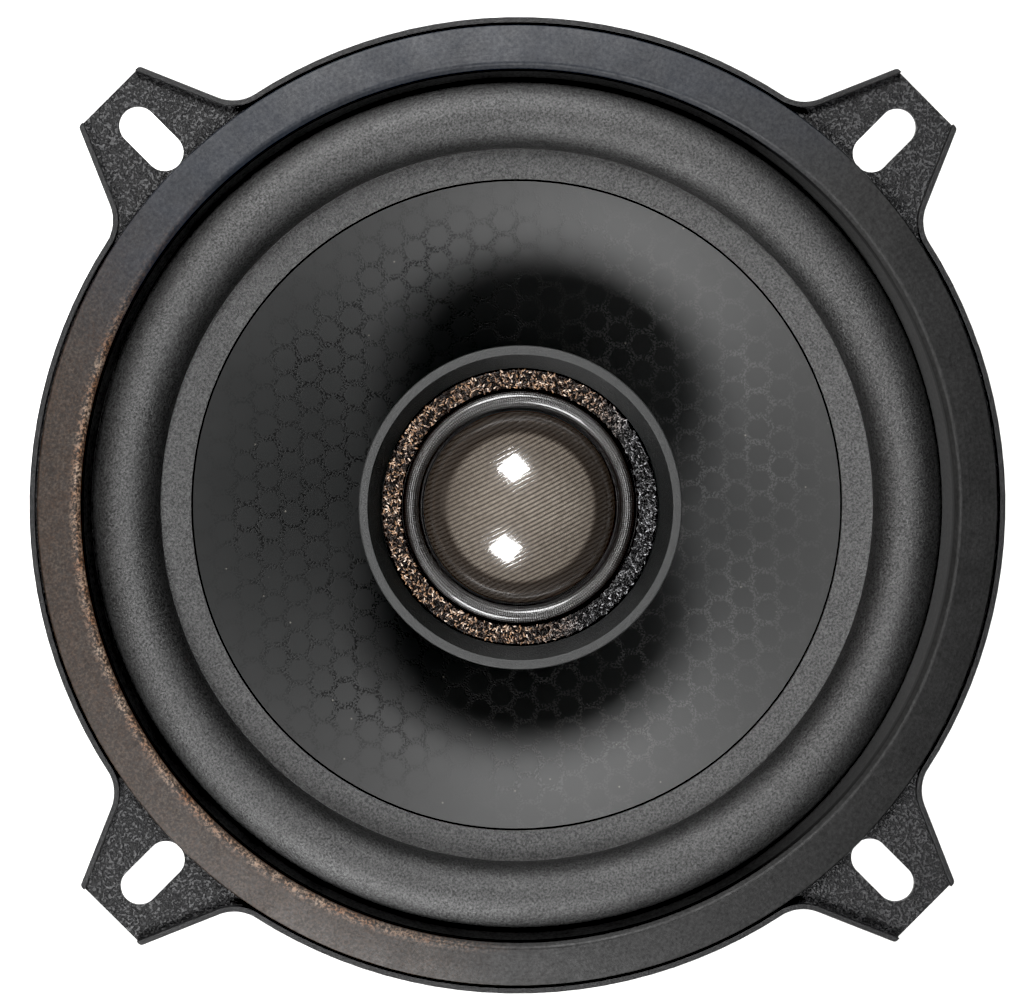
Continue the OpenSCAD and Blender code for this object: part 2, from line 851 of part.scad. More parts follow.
module tweeter_back_cap() {
    color("#2a2b2d") tube(pot_r + 0.1, wire_bore_r, cap_rear, pot_rear);
}

module tweeter_trim_ring() {
    low = shelf_z + cloth_t;
    color("#4a3527")
        rotate_extrude()
            polygon(rounded([
                [trim_in_r, low, 0], [cup_step_r - 0.1, low, 0],
                [cup_step_r - 0.1, low + trim_h, 0.3], [trim_in_r, low + trim_h, 0.3]
            ]));
}

module tweeter_suspension() {
    color("#3c3633")
        rotate_extrude()
            roll_outline([bead_mid_r, shelf_z + cloth_t / 2], bead_r, cloth_t,
                dome_r + 0.05, shelf_z + cloth_t, cup_step_r - 0.1, shelf_z + cloth_t);
}

module tweeter_dome() {
    color("#8b8377")
        translate([0, 0, dome_centre])
            difference() {
                sphere(r = dome_sphere_r);
                sphere(r = dome_sphere_r - dome_t);
                translate([0, 0, dome_base - dome_centre - far]) cylinder(r = far, h = far);
            }
}

module tweeter_former() {
    outer = dome_r - 0.05;
    color("#8a5a2b") tube(outer, outer - tweeter_former_t, tweeter_coil[0], dome_base);
}

module tweeter_winding() {
    inner = dome_r - 0.05;
    color("#9c4a1c") tube(inner + tweeter_winding_t, inner, tweeter_coil[0], tweeter_coil[1]);
}

module tweeter_pot() {
    color(zinc)
        rotate_extrude()
            polygon([
                [0, pot_rear], [pot_r, pot_rear], [pot_r, pot_top], [pot_wall_r, pot_top],
                [pot_wall_r, pot_rear + pot_floor_t], [0, pot_rear + pot_floor_t]
            ]);
}

module tweeter_magnet() {
    low = pot_rear + pot_floor_t;
    color("#9aa0a6") translate([0, 0, low]) cylinder(r = 11.4, h = pot_top - pole_plate_t - low);
}

module tweeter_pole_plate() {
    color(zinc) translate([0, 0, pot_top - pole_plate_t]) cylinder(r = 12.05, h = pole_plate_t);
}

module damping_pad() {
    color("#c8b79a") translate([0, 0, pot_top]) cylinder(r = 10.4, h = 1.2);
}

basket();
plate_rivets();
top_plate();
ring_magnet();
back_plate();
magnet_boot();
front_gasket();
surround();
cone();
coil_former();
coil_winding();
spider();
tinsel_leads();
lead_anchors();
terminal_board();
board_screw();
positive_spade();
negative_spade();
spade_rivets();
solder_lugs();
crossover_capacitor();
capacitor_leads();
tweeter_leads();
tweeter_post();
post_washer();
post_nut();
tweeter_housing();
tweeter_back_cap();
tweeter_trim_ring();
tweeter_suspension();
tweeter_dome();
tweeter_former();
tweeter_winding();
tweeter_pot();
tweeter_magnet();
tweeter_pole_plate();
damping_pad();
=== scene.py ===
"""Looks of a 13 cm coaxial car loudspeaker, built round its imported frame.

Lengths in the tables are millimetres. The origin is the centre of the mounting plane and +Z is
the way the sound leaves. The terminals lie at -45 degrees, between +X and -Y.
"""

import math
import random

import bpy
import numpy as np
from mathutils import Matrix, Vector


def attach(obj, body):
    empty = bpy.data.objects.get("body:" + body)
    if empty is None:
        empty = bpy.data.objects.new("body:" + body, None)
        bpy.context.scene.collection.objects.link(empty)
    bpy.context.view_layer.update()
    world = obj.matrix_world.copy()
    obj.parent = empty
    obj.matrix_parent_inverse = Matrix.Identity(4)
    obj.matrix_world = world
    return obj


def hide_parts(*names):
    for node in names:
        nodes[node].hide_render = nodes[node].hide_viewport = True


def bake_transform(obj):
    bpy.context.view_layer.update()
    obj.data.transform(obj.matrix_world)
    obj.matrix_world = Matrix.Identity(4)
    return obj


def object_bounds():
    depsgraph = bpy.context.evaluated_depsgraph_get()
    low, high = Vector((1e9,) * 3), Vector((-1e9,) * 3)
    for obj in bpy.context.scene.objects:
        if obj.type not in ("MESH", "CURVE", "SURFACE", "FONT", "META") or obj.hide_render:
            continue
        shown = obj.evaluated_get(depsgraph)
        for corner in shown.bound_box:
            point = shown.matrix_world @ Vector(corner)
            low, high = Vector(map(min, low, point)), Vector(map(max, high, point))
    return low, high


MM = 0.001
WAVE = math.pi / 10  # a wave texture of scale WAVE / length repeats once in that length
HALF_SQUARE = math.sqrt(0.5)
RIGHT = Vector((HALF_SQUARE, -HALF_SQUARE, 0))  # the view's right and up on the mounting plane
UP = Vector((HALF_SQUARE, HALF_SQUARE, 0))
FORWARD = Vector((0, 0, 1))
TERMINALS = Matrix.Rotation(math.radians(-45), 4, "Z")  # local x points out past the terminals

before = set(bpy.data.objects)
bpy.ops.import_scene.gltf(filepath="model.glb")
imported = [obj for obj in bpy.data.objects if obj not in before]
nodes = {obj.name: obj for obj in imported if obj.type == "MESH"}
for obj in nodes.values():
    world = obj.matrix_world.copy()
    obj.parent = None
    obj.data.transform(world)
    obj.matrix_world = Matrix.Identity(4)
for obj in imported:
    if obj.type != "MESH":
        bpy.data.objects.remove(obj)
cad_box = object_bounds()


# ---- outlines ----
def polar(radius, degrees):
    """A point at that radius and angle."""
    a = math.radians(degrees)
    return Vector((radius * math.cos(a), radius * math.sin(a)))


def rounded(points, steps=6):
    """A closed outline of (x, y, corner radius) with its corners rounded."""
    out = []
    for i, (x, y, radius) in enumerate(points):
        b = Vector((x, y))
        if radius <= 0:
            out.append(b)
            continue
        before, after = points[i - 1], points[(i + 1) % len(points)]
        u = (Vector(before[:2]) - b).normalized()
        v = (Vector(after[:2]) - b).normalized()
        half = math.acos(max(-1, min(1, u.dot(v)))) / 2
        middle = b + (u + v).normalized() * radius / math.sin(half)
        p = b + u * radius / math.tan(half) - middle
        q = b + v * radius / math.tan(half) - middle
        first = math.atan2(p.y, p.x)
        turn = (math.atan2(q.y, q.x) - first + math.pi) % (2 * math.pi) - math.pi
        for k in range(steps + 1):
            out.append(middle + polar(radius, math.degrees(first + turn * k / steps)))
    return out


def roll(middle, radius, thickness, inner, outer, steps=40):
    """A half roll between two flat edges; inner and outer are (radius, height) of their tops."""
    sides = []
    for r, drop in ((radius + thickness / 2, 0), (radius - thickness / 2, thickness)):
        a = 180 - math.degrees(math.asin((inner[1] - drop - middle[1]) / r))
        b = math.degrees(math.asin((outer[1] - drop - middle[1]) / r))
        sides.append([Vector(middle) + polar(r, a + (b - a) * k / steps)
                      for k in range(steps + 1)])
    front, rear = sides
    return [Vector(inner), *front, Vector(outer), Vector((outer[0], outer[1] - thickness)),
            *reversed(rear), Vector((inner[0], inner[1] - thickness))]


# ---- meshes ----
def placed(name, data):
    """A new object in the scene."""
    obj = bpy.data.objects.new(name, data)
    bpy.context.scene.collection.objects.link(obj)
    return obj


def new_object(name, verts, faces, uvs=None, sharp=40):
    """A smooth mesh object whose edges stay sharp past that angle."""
    mesh = bpy.data.meshes.new(name)
    mesh.from_pydata([tuple(v) for v in verts], [], faces)
    if uvs:
        layer = mesh.uv_layers.new(name="UVMap")
        layer.data.foreach_set("uv", np.array(uvs, np.float32).ravel())
    mesh.shade_smooth()
    mesh.set_sharp_from_angle(angle=math.radians(sharp))
    return placed(name, mesh)


def lathe(name, outline, turns=288, sharp=40, place=None):
    """A ring or disc turned from a closed outline of (radius, height); its UVs are in metres."""
    area = sum(a[0] * b[1] - b[0] * a[1]
               for a, b in zip(outline, outline[1:] + outline[:1]))
    if area < 0:
        outline = outline[::-1]
    middle = sum(p[0] for p in outline) / len(outline) * MM
    verts, rings, run, arc = [], [], [], 0
    for i, (r, z) in enumerate(outline):
        if r < 1e-6:
            rings.append([len(verts)] * turns)
            verts.append(Vector((0, 0, z * MM)))
        else:
            rings.append(list(range(len(verts), len(verts) + turns)))
            verts += [Vector((*(polar(r, 360 * j / turns) * MM), z * MM)) for j in range(turns)]
        run.append(arc)
        arc += (Vector(outline[(i + 1) % len(outline)]) - Vector((r, z))).length * MM
    run.append(arc)
    faces, uvs = [], []
    for i in range(len(outline)):
        low, high = rings[i], rings[(i + 1) % len(outline)]
        if low[0] == low[-1] and high[0] == high[-1]:
            continue
        for j in range(turns):
            k = (j + 1) % turns
            u0, u1 = (2 * math.pi * middle * n / turns for n in (j, j + 1))
            corners = [(low[j], u0, run[i]), (low[k], u1, run[i]),
                       (high[k], u1, run[i + 1]), (high[j], u0, run[i + 1])]
            kept = [c for n, c in enumerate(corners) if c[0] != corners[n - 1][0]]
            faces.append([c[0] for c in kept])
            uvs += [(u, v) for _, u, v in kept]
    if place:
        verts = [place @ v for v in verts]
    return new_object(name, verts, faces, uvs, sharp)


def smooth_route(route, steps=8):
    """A finer route through the same points, on Catmull-Rom curves."""
    points = [Vector(p) for p in route]
    padded = [2 * points[0] - points[1], *points, 2 * points[-1] - points[-2]]
    out = []
    for a, b, c, d in zip(padded, padded[1:], padded[2:], padded[3:]):
        for k in range(steps):
            t = k / steps
            out.append(0.5 * (2 * b + (c - a) * t + (2 * a - 5 * b + 4 * c - d) * t * t
                              + (3 * b - a - 3 * c + d) * t ** 3))
    return out + [points[-1]]


def swept(name, routes, radius, sides=12):
    """Round wires along routes in the terminals' own axes, with closed ends, as one mesh."""
    verts, faces, uvs = [], [], []
    for route in routes:
        points = smooth_route(route)
        base, side, length = len(verts), Vector((0, 1, 0)), 0
        lengths = []
        for i, p in enumerate(points):
            ahead = points[min(i + 1, len(points) - 1)] - points[max(i - 1, 0)]
            ahead.normalize()
            side = (side - ahead * side.dot(ahead)).normalized()
            other = ahead.cross(side)
            if i:
                length += (p - points[i - 1]).length
            lengths.append(length * MM)
            for k in range(sides):
                ring = polar(radius, 360 * k / sides)
                verts.append(TERMINALS @ ((p + side * ring.x + other * ring.y) * MM))
        for i in range(len(points) - 1):
            for k in range(sides):
                n = (k + 1) % sides
                a, b = base + i * sides, base + (i + 1) * sides
                faces.append([a + k, a + n, b + n, b + k])
                round_mm = 2 * math.pi * radius * MM
                u0, u1 = round_mm * k / sides, round_mm * (k + 1) / sides
                uvs += [(u0, lengths[i]), (u1, lengths[i]), (u1, lengths[i + 1]),
                        (u0, lengths[i + 1])]
        last = base + (len(points) - 1) * sides
        for ring in ([base + k for k in reversed(range(sides))], [last + k for k in range(sides)]):
            faces.append(ring)
            uvs += [(0, 0)] * sides
    return new_object(name, verts, faces, uvs)


# ---- materials ----
MATH, VECTOR, MIX = "ShaderNodeMath", "ShaderNodeVectorMath", "ShaderNodeMix"
RANGE, STRIPES, PLACE = "ShaderNodeMapRange", "ShaderNodeTexWave", "ShaderNodeTexCoord"
SPAN = {"From Min": 0.3, "From Max": 0.7}  # nearly all of a grain's values lie between these


def srgb(code):
    """Linear RGBA from an sRGB hex code."""
    parts = [int(code[i:i + 2], 16) / 255 for i in (1, 3, 5)]
    return (*(c / 12.92 if c <= 0.04045 else ((c + 0.055) / 1.055) ** 2.4 for c in parts), 1)


def join(node, links):
    """Gives inputs a value or another node, which stands for its first output in use."""
    for key, value in links.items():
        if isinstance(value, bpy.types.Node):
            value = next(out for out in value.outputs if out.enabled)
        if isinstance(value, bpy.types.NodeSocket):
            node.id_data.links.new(value, node.inputs[key])
        else:
            node.inputs[key].default_value = value
    return node


def add(tree, kind, links=None, **settings):
    """A node with its settings and links."""
    node = tree.nodes.new(kind)
    for key, value in settings.items():
        setattr(node, key, value)
    return join(node, links or {})


def finish_of(name, **sockets):
    """A new material and its shader; sockets are the shader's own values."""
    material = bpy.data.materials.new(name)
    material.use_nodes = True
    tree = material.node_tree
    tree.nodes.clear()
    shader = add(tree, "ShaderNodeBsdfPrincipled",
                 {key.replace("_", " "): value for key, value in sockets.items()})
    add(tree, "ShaderNodeOutputMaterial", {"Surface": shader})
    return material, tree, shader


def grain(tree, size, detail=3, roughness=0.55, vector=None):
    """Uneven grain of that size in mm, on the piece's own coordinates."""
    if vector is None:
        vector = add(tree, PLACE).outputs["Object"]
    return add(tree, "ShaderNodeTexNoise", {"Vector": vector, "Scale": 1 / (size * MM),
                                            "Detail": detail, "Roughness": roughness})


def patches(tree, size, low=0, high=1, start=0.3, end=0.7, detail=3, roughness=0.55, **settings):
    """Patches of that size in mm, from one level to another."""
    return add(tree, RANGE, {"Value": grain(tree, size, detail, roughness), "From Min": start,
                             "From Max": end, "To Min": low, "To Max": high}, **settings)


def radius_of(tree):
    """Distance from the loudspeaker's axis."""
    flat = add(tree, VECTOR, {0: add(tree, PLACE).outputs["Object"], 1: (1, 1, 0)},
               operation="MULTIPLY")
    return add(tree, VECTOR, {0: flat}, operation="LENGTH")


def across_view(tree, right, up):
    """Distance along a direction given in the view's right and up."""
    return add(tree, VECTOR, {0: add(tree, PLACE).outputs["Object"],
                              1: tuple(RIGHT * right + UP * up)}, operation="DOT_PRODUCT")


def plain_finish(name, light, dark, mottle, rough, fine, depth, detail=3, **sockets):
    """Two close tones mottled at one size, with relief and gloss varied at another."""
    material, tree, shader = finish_of(name, **sockets)
    height = grain(tree, fine, detail)
    join(shader, {
        "Base Color": add(tree, MIX, {0: patches(tree, mottle), 6: srgb(dark), 7: srgb(light)},
                          data_type="RGBA"),
        "Roughness": add(tree, RANGE, {"Value": height, **SPAN, "To Min": rough[0],
                                       "To Max": rough[1]}),
        "Normal": add(tree, "ShaderNodeBump", {"Height": height, "Distance": depth * MM})})
    return material


# Zinc-plated steel, stamped and barrel plated: a soft pale metal with cloudy gloss
zinc = plain_finish("zinc_plated_steel", "#96999e", "#7a7e83", 4, (0.26, 0.42), 0.35, 0.004,
                    Metallic=1)
# Nickel-plated neodymium: a brighter, smoother plate than zinc
nickel = plain_finish("nickel_plated_magnet", "#cdc9c0", "#b9b5ac", 3, (0.16, 0.24), 0.5, 0.002,
                      Metallic=1)
# Strontium ferrite, pressed, sintered and ground: dark, chalky and finely pitted
ferrite = plain_finish("ground_ferrite", "#3a3a3d", "#28282a", 1.2, (0.5, 0.72), 0.25, 0.03, 6)
# Nitrile boot, compression moulded: dull black with a faint bloom and a fine moulded grain
boot_rubber = plain_finish("moulded_boot_rubber", "#121314", "#0c0c0d", 9, (0.46, 0.62), 0.45,
                           0.02, 4)
# Glass-filled nylon, injection moulded: black with a light moulded texture
board_nylon = plain_finish("moulded_nylon", "#17181a", "#101112", 3, (0.38, 0.52), 0.4, 0.015, 4)
# Tinned brass strip, blanked: warm silver, duller than zinc
tinned_brass = plain_finish("tinned_brass", "#a29d8f", "#8a8575", 1.5, (0.22, 0.4), 0.3, 0.004,
                            Metallic=1)
# Tinned copper wire and solder, drawn or melted: bright with dull patches
tinned_wire = plain_finish("tinned_wire", "#d3d3d0", "#a9a9a6", 0.8, (0.18, 0.38), 0.3, 0.006,
                           Metallic=1)
# Aluminium, turned and black anodised: dark satin metal
anodised = plain_finish("black_anodised_aluminium", "#2d2e31", "#222326", 5, (0.28, 0.4), 0.3,
                        0.003, Metallic=0.7)
# Polyimide film wound on a mandrel: clear amber with a soft gloss
former_film = plain_finish("polyimide_film", "#a36a2c", "#84501e", 4, (0.22, 0.34), 1.2, 0.006,
                           Coat_Weight=0.4)
# Contact adhesive, dripped on and cured: glossy dark amber
adhesive = plain_finish("amber_adhesive", "#6e4526", "#3d2412", 1.2, (0.18, 0.36), 0.9, 0.05,
                        Coat_Weight=0.5)
# PVC insulation, extruded: soft gloss with faint length-wise unevenness
red_pvc = plain_finish("red_pvc_insulation", "#8f1c1a", "#6d1210", 3, (0.3, 0.44), 0.8, 0.01)
black_pvc = plain_finish("black_pvc_insulation", "#1d1d1f", "#131314", 3, (0.3, 0.44), 0.8, 0.01)
# Wool felt, needled: a matt beige pad with loose fibres
felt = plain_finish("needled_felt", "#cdc4b8", "#9f9589", 0.7, (0.85, 1.0), 0.18, 0.12, 6,
                    Sheen_Weight=0.4)
# Shrink sleeve, PVC over the can: thin glossy blue-black with faint stretch marks
sleeve = plain_finish("shrink_sleeve", "#1d2747", "#161d38", 3, (0.16, 0.28), 1.6, 0.01,
                      Coat_Weight=0.3)
# Butyl bung, moulded: matt black end of the can
bung = plain_finish("moulded_bung", "#19191a", "#101011", 1, (0.6, 0.8), 0.2, 0.02)


def powder_coat():
    """Powder coat, sprayed and baked on steel: black with a coarse wrinkled grain that sparkles."""
    material, tree, shader = finish_of("powder_coated_steel", Specular_IOR_Level=0.45)
    coarse = grain(tree, 0.34, 2, 0.6)
    wrinkles = add(tree, RANGE, {"Value": coarse, "From Min": 0.42, "From Max": 0.58},
                   interpolation_type="SMOOTHSTEP")
    place = add(tree, "ShaderNodeSeparateXYZ", {0: add(tree, PLACE).outputs["Object"]})
    upturned = add(tree, RANGE, {"Value": place.outputs["Z"], "From Min": 1.1 * MM,
                                 "From Max": 1.5 * MM, "To Min": 1, "To Max": 0.15})
    # The upturned rims are smoother than the flat flange
    wrinkled = add(tree, MATH, {0: wrinkles, 1: upturned}, operation="MULTIPLY")
    fine = add(tree, MATH, {0: grain(tree, 0.12, 2), 1: 0.35}, operation="MULTIPLY")
    height = add(tree, MATH, {0: wrinkled, 1: fine}, operation="ADD")
    # The coat draws back from sharp edges and leaves them soft
    soft_edge = add(tree, "ShaderNodeBevel", {"Radius": 0.22 * MM}, samples=4)
    tone = add(tree, MIX, {0: patches(tree, 12), 6: srgb("#050506"), 7: srgb("#0a0a0b")},
               data_type="RGBA")
    join(shader, {
        "Base Color": add(tree, MIX, {0: wrinkled, 6: tone, 7: srgb("#131315")},
                          data_type="RGBA"),
        "Roughness": add(tree, RANGE, {"Value": coarse, **SPAN, "To Min": 0.56, "To Max": 0.4}),
        "Specular IOR Level": add(tree, RANGE, {"Value": wrinkled, "To Min": 0.28,
                                                "To Max": 0.62}),
        "Normal": add(tree, "ShaderNodeBump", {"Height": height, "Distance": 0.16 * MM,
                                               "Normal": soft_edge})})
    return material


def gasket_rubber():
    """EVA gasket, die cut and moulded: smooth satin, scuffed in faint hoops, with a painted cool
    blue sheen on one side and on the other a painted warm brown sheen with painted golden glints
    along the crest; the inner wall is painted lighter on the view's right."""
    material, tree, shader = finish_of("moulded_gasket", Specular_IOR_Level=0.34)
    radius = radius_of(tree)
    drift = add(tree, MATH, {0: grain(tree, 12), 1: 0.02}, operation="MULTIPLY")
    # Painted sheen by side of the view: warm brown on one side, cool blue on the other
    warm, cool = (
        add(tree, RANGE, {"Value": add(tree, MATH, {0: across_view(tree, right, up), 1: drift},
                                       operation="ADD"), "From Min": 0.03, "From Max": far},
            interpolation_type="SMOOTHSTEP")
        for right, up, far in ((-0.9, -0.45, 0.062), (-0.35, 0.94, 0.06)))
    tone = add(tree, MIX, {0: cool, 6: srgb("#080808"), 7: srgb("#0b1018")}, data_type="RGBA")
    tone = add(tree, MIX, {0: warm, 6: tone, 7: srgb("#1a120c")}, data_type="RGBA")
    tone = add(tree, MIX, {0: patches(tree, 3.5, 0, 0.35, detail=4), 6: tone,
                           7: srgb("#040404")}, data_type="RGBA")
    # Painted highlight: golden glints on the crest, on the warm side only
    rise = add(tree, RANGE, {"Value": radius, "From Min": 58.2 * MM, "From Max": 58.4 * MM})
    fall = add(tree, RANGE, {"Value": radius, "From Min": 58.9 * MM, "From Max": 59.8 * MM,
                             "To Min": 1, "To Max": 0.12})
    crest = add(tree, MATH, {0: rise, 1: fall}, operation="MULTIPLY")
    glint_grains = patches(tree, 0.34, 0, 1, 0.46, 0.62, 3, 0.65)
    gold = add(tree, MATH, {0: crest, 1: glint_grains}, operation="MULTIPLY")
    gold = add(tree, MATH, {0: gold, 1: warm}, operation="MULTIPLY")
    golds = add(tree, MIX, {0: patches(tree, 2.5), 6: srgb("#62442f"), 7: srgb("#76685c")},
                data_type="RGBA")
    tone = add(tree, MIX, {0: gold, 6: tone, 7: golds}, data_type="RGBA")
    # Painted light: the inner wall is painted lighter on the view's right
    face = add(tree, RANGE, {"Value": radius, "From Min": 58 * MM, "From Max": 58.25 * MM})
    side = add(tree, RANGE, {"Value": across_view(tree, 1, 0), "From Min": 30 * MM,
                             "From Max": 52 * MM})
    painted_lit_wall = add(tree, MIX, {0: side, 6: srgb("#060606"), 7: srgb("#2b2b2b")}, data_type="RGBA")
    hoops = add(tree, "ShaderNodeMapping",
                {"Vector": add(tree, "ShaderNodeUVMap"), "Scale": (0.06, 1, 1)})
    height = add(tree, MATH, {0: grain(tree, 0.45, 4, vector=hoops),
                              1: grain(tree, 0.3, 4)}, operation="ADD")
    # A dull line runs round the foot of the crest: its reflection is cut there as painted shade
    off_line = add(tree, MATH, {0: radius, 1: 58.05 * MM}, operation="SUBTRACT")
    off_line = add(tree, MATH, {0: off_line}, operation="ABSOLUTE")
    line = add(tree, RANGE, {"Value": off_line, "From Min": 0.1 * MM, "From Max": 0.2 * MM,
                             "To Min": 0.1, "To Max": 1})
    join(shader, {
        "Base Color": add(tree, MIX, {0: face, 6: painted_lit_wall, 7: tone}, data_type="RGBA"),
        "Roughness": patches(tree, 5, 0.52, 0.62),
        "Specular IOR Level": add(tree, MATH, {0: patches(tree, 0.5, 0.22, 0.46, detail=5,
                                                          roughness=0.7), 1: line},
                                  operation="MULTIPLY"),
        "Normal": add(tree, "ShaderNodeBump", {"Height": height, "Distance": 0.025 * MM})})
    return material


def surround_rubber():
    """Butyl rubber, compression moulded in a blasted tool: dark grey with a fine sandy grain."""
    material, tree, shader = finish_of("moulded_surround", Specular_IOR_Level=0.6)
    sand = grain(tree, 0.3, 4, 0.7)
    grains = add(tree, RANGE, {"Value": sand, "From Min": 0.38, "From Max": 0.64})
    shine = add(tree, RANGE, {"Value": grains, "To Min": 0.36, "To Max": 0.92})
    # Painted shade: past the roll's outer foot the land's reflection is cut away, in the trench by
    # the gasket
    land = add(tree, RANGE, {"Value": radius_of(tree), "From Min": 56.3 * MM,
                             "From Max": 57 * MM, "To Min": 1, "To Max": 0.06})
    join(shader, {
        "Base Color": add(tree, MIX, {0: grains, 6: srgb("#050505"), 7: srgb("#121212")},
                          data_type="RGBA"),
        "Roughness": patches(tree, 6, 0.5, 0.56),
        "Specular IOR Level": add(tree, MATH, {0: land, 1: shine}, operation="MULTIPLY"),
        "Normal": add(tree, "ShaderNodeBump", {"Height": sand, "Distance": 0.1 * MM})})
    return material


HEX_PITCH = 3.5  # middle of one honeycomb cell to the next
HEX_TURN = math.radians(45 - 2.5)  # X and Y to the view's right and up, less a small lean


def honeycomb(tree, place):
    """How far each point is from the middle of its cell, towards the cell's nearest side."""
    turned = add(tree, "ShaderNodeMapping", {"Vector": place, "Rotation": (0, 0, HEX_TURN)})
    wobble = add(tree, "ShaderNodeTexNoise", {"Vector": place, "Scale": 1 / (1.6 * MM)})
    shift = add(tree, VECTOR, {0: wobble.outputs["Color"], 1: (0.5, 0.5, 0.5)},
                operation="SUBTRACT")
    shaken = add(tree, VECTOR, {0: shift, 1: (0.45 * MM, 0.45 * MM, 0), 2: turned},
                 operation="MULTIPLY_ADD")
    span = Vector((math.sqrt(3), 1, 1000)) * HEX_PITCH * MM
    rows = []
    for share in (0, 0.5):  # the two rows that make up the honeycomb's lattice
        moved = add(tree, VECTOR, {0: shaken, 1: (-span.x * share, -span.y * share, 0)},
                    operation="ADD")
        wrapped = add(tree, VECTOR, {0: moved, 1: tuple(span / 2), 2: tuple(-span / 2)},
                      operation="WRAP")
        flat = add(tree, VECTOR, {0: wrapped, 1: (1, 1, 0)}, operation="MULTIPLY")
        rows.append((flat, add(tree, VECTOR, {0: flat}, operation="LENGTH")))
    nearer = add(tree, MATH, {0: rows[1][1], 1: rows[0][1]}, operation="LESS_THAN")
    cell = add(tree, MIX, {0: nearer, 6: rows[0][0], 7: rows[1][0]}, data_type="RGBA")
    folded = add(tree, VECTOR, {0: cell}, operation="ABSOLUTE")
    sides = add(tree, "ShaderNodeSeparateXYZ", {0: folded}).outputs
    along = add(tree, MATH, {0: sides["X"], 1: math.sqrt(0.75)}, operation="MULTIPLY")
    up = add(tree, MATH, {0: sides["Y"], 1: 0.5}, operation="MULTIPLY")
    slant = add(tree, MATH, {0: along, 1: up}, operation="ADD")
    return add(tree, MATH, {0: slant, 1: sides["Y"]}, operation="MAXIMUM")


def cone_polypropylene():
    """Polypropylene, injection moulded: satin grey-black, with smooth honeycomb cells parted by
    broken lines of pits and beads, which fade out towards the edge. The marks are painted pale and
    shiny on the view's right as painted light; the groove beside the lip is painted dark as shade."""
    material, tree, shader = finish_of("moulded_polypropylene", Specular_IOR_Level=0.46)
    place = add(tree, PLACE).outputs["Object"]
    radius = radius_of(tree)
    half = HEX_PITCH / 2 * MM
    border = add(tree, RANGE, {"Value": honeycomb(tree, place), "From Min": half - 0.58 * MM,
                               "From Max": half - 0.28 * MM}, interpolation_type="SMOOTHSTEP")
    beads = patches(tree, 0.27, 0, 1, 0.44, 0.6, 1, 0.6, interpolation_type="SMOOTHSTEP")
    worn = patches(tree, 9, 0.45, 1, 0.36, 0.6, 2, interpolation_type="SMOOTHSTEP")
    outward = add(tree, RANGE, {"Value": radius, "From Min": 35 * MM, "From Max": 42 * MM,
                                "To Min": 1, "To Max": 0.25}, interpolation_type="SMOOTHSTEP")
    rightward = add(tree, RANGE, {"Value": across_view(tree, 1, 0), "From Min": 2 * MM,
                                  "From Max": 24 * MM, "To Min": 1, "To Max": 0.5})
    fade = add(tree, MATH, {0: outward, 1: rightward}, operation="MULTIPLY")
    beaded = add(tree, MATH, {0: border, 1: beads}, operation="MULTIPLY")
    fading = add(tree, MATH, {0: worn, 1: fade}, operation="MULTIPLY")
    marks = add(tree, MATH, {0: beaded, 1: fading}, operation="MULTIPLY")
    # Bare plastic, then the marks, painted pale on the view's right as painted light, then a few
    # specks of dust
    tone = add(tree, MIX, {0: patches(tree, 7, detail=2), 6: srgb("#040505"),
                           7: srgb("#090a0a")}, data_type="RGBA")
    pale = add(tree, RANGE, {"Value": across_view(tree, 0.6, -0.1), "From Min": -12 * MM,
                             "From Max": 10 * MM}, interpolation_type="SMOOTHSTEP")
    mark = add(tree, MIX, {0: pale, 6: srgb("#020202"), 7: srgb("#151515")}, data_type="RGBA")
    tone = add(tree, MIX, {0: marks, 6: tone, 7: mark}, data_type="RGBA")
    specks = add(tree, "ShaderNodeTexVoronoi", {"Vector": place, "Scale": 1 / (3.4 * MM)})
    dust = add(tree, RANGE, {"Value": specks.outputs["Distance"], "From Min": 0.02,
                             "From Max": 0.05, "To Min": 1, "To Max": 0})
    tone = add(tree, MIX, {0: dust, 6: tone, 7: srgb("#4a4843")}, data_type="RGBA")
    # Painted shade: the groove beside the lip, and the rim under it, are dark
    groove_shade = add(tree, RANGE, {"Value": radius, "From Min": 43.6 * MM, "From Max": 43.68 * MM})
    # The marks get a painted shine on the view's right and are dull pits elsewhere; the groove
    # beside the lip is dull, as painted shade
    shine = add(tree, RANGE, {"Value": pale, "To Min": -0.28, "To Max": 0.4})
    pits = add(tree, MATH, {0: marks, 1: shine}, operation="MULTIPLY")
    gloss = add(tree, MATH, {0: pits, 1: 0.46}, operation="ADD")
    dull = add(tree, RANGE, {"Value": groove_shade, "To Min": 1, "To Max": 0.1})
    sunk = add(tree, MATH, {0: marks, 1: -1}, operation="MULTIPLY")
    fine = add(tree, MATH, {0: grain(tree, 0.22, 3), 1: 0.35}, operation="MULTIPLY")
    height = add(tree, MATH, {0: sunk, 1: fine}, operation="ADD")
    join(shader, {
        "Base Color": add(tree, MIX, {0: groove_shade, 6: tone, 7: srgb("#070707")}, data_type="RGBA"),
        "Roughness": add(tree, RANGE, {"Value": marks, "To Min": 0.56, "To Max": 0.6}),
        "Specular IOR Level": add(tree, MATH, {0: gloss, 1: dull}, operation="MULTIPLY"),
        "Normal": add(tree, "ShaderNodeBump", {"Height": height, "Distance": 0.02 * MM})})
    return material


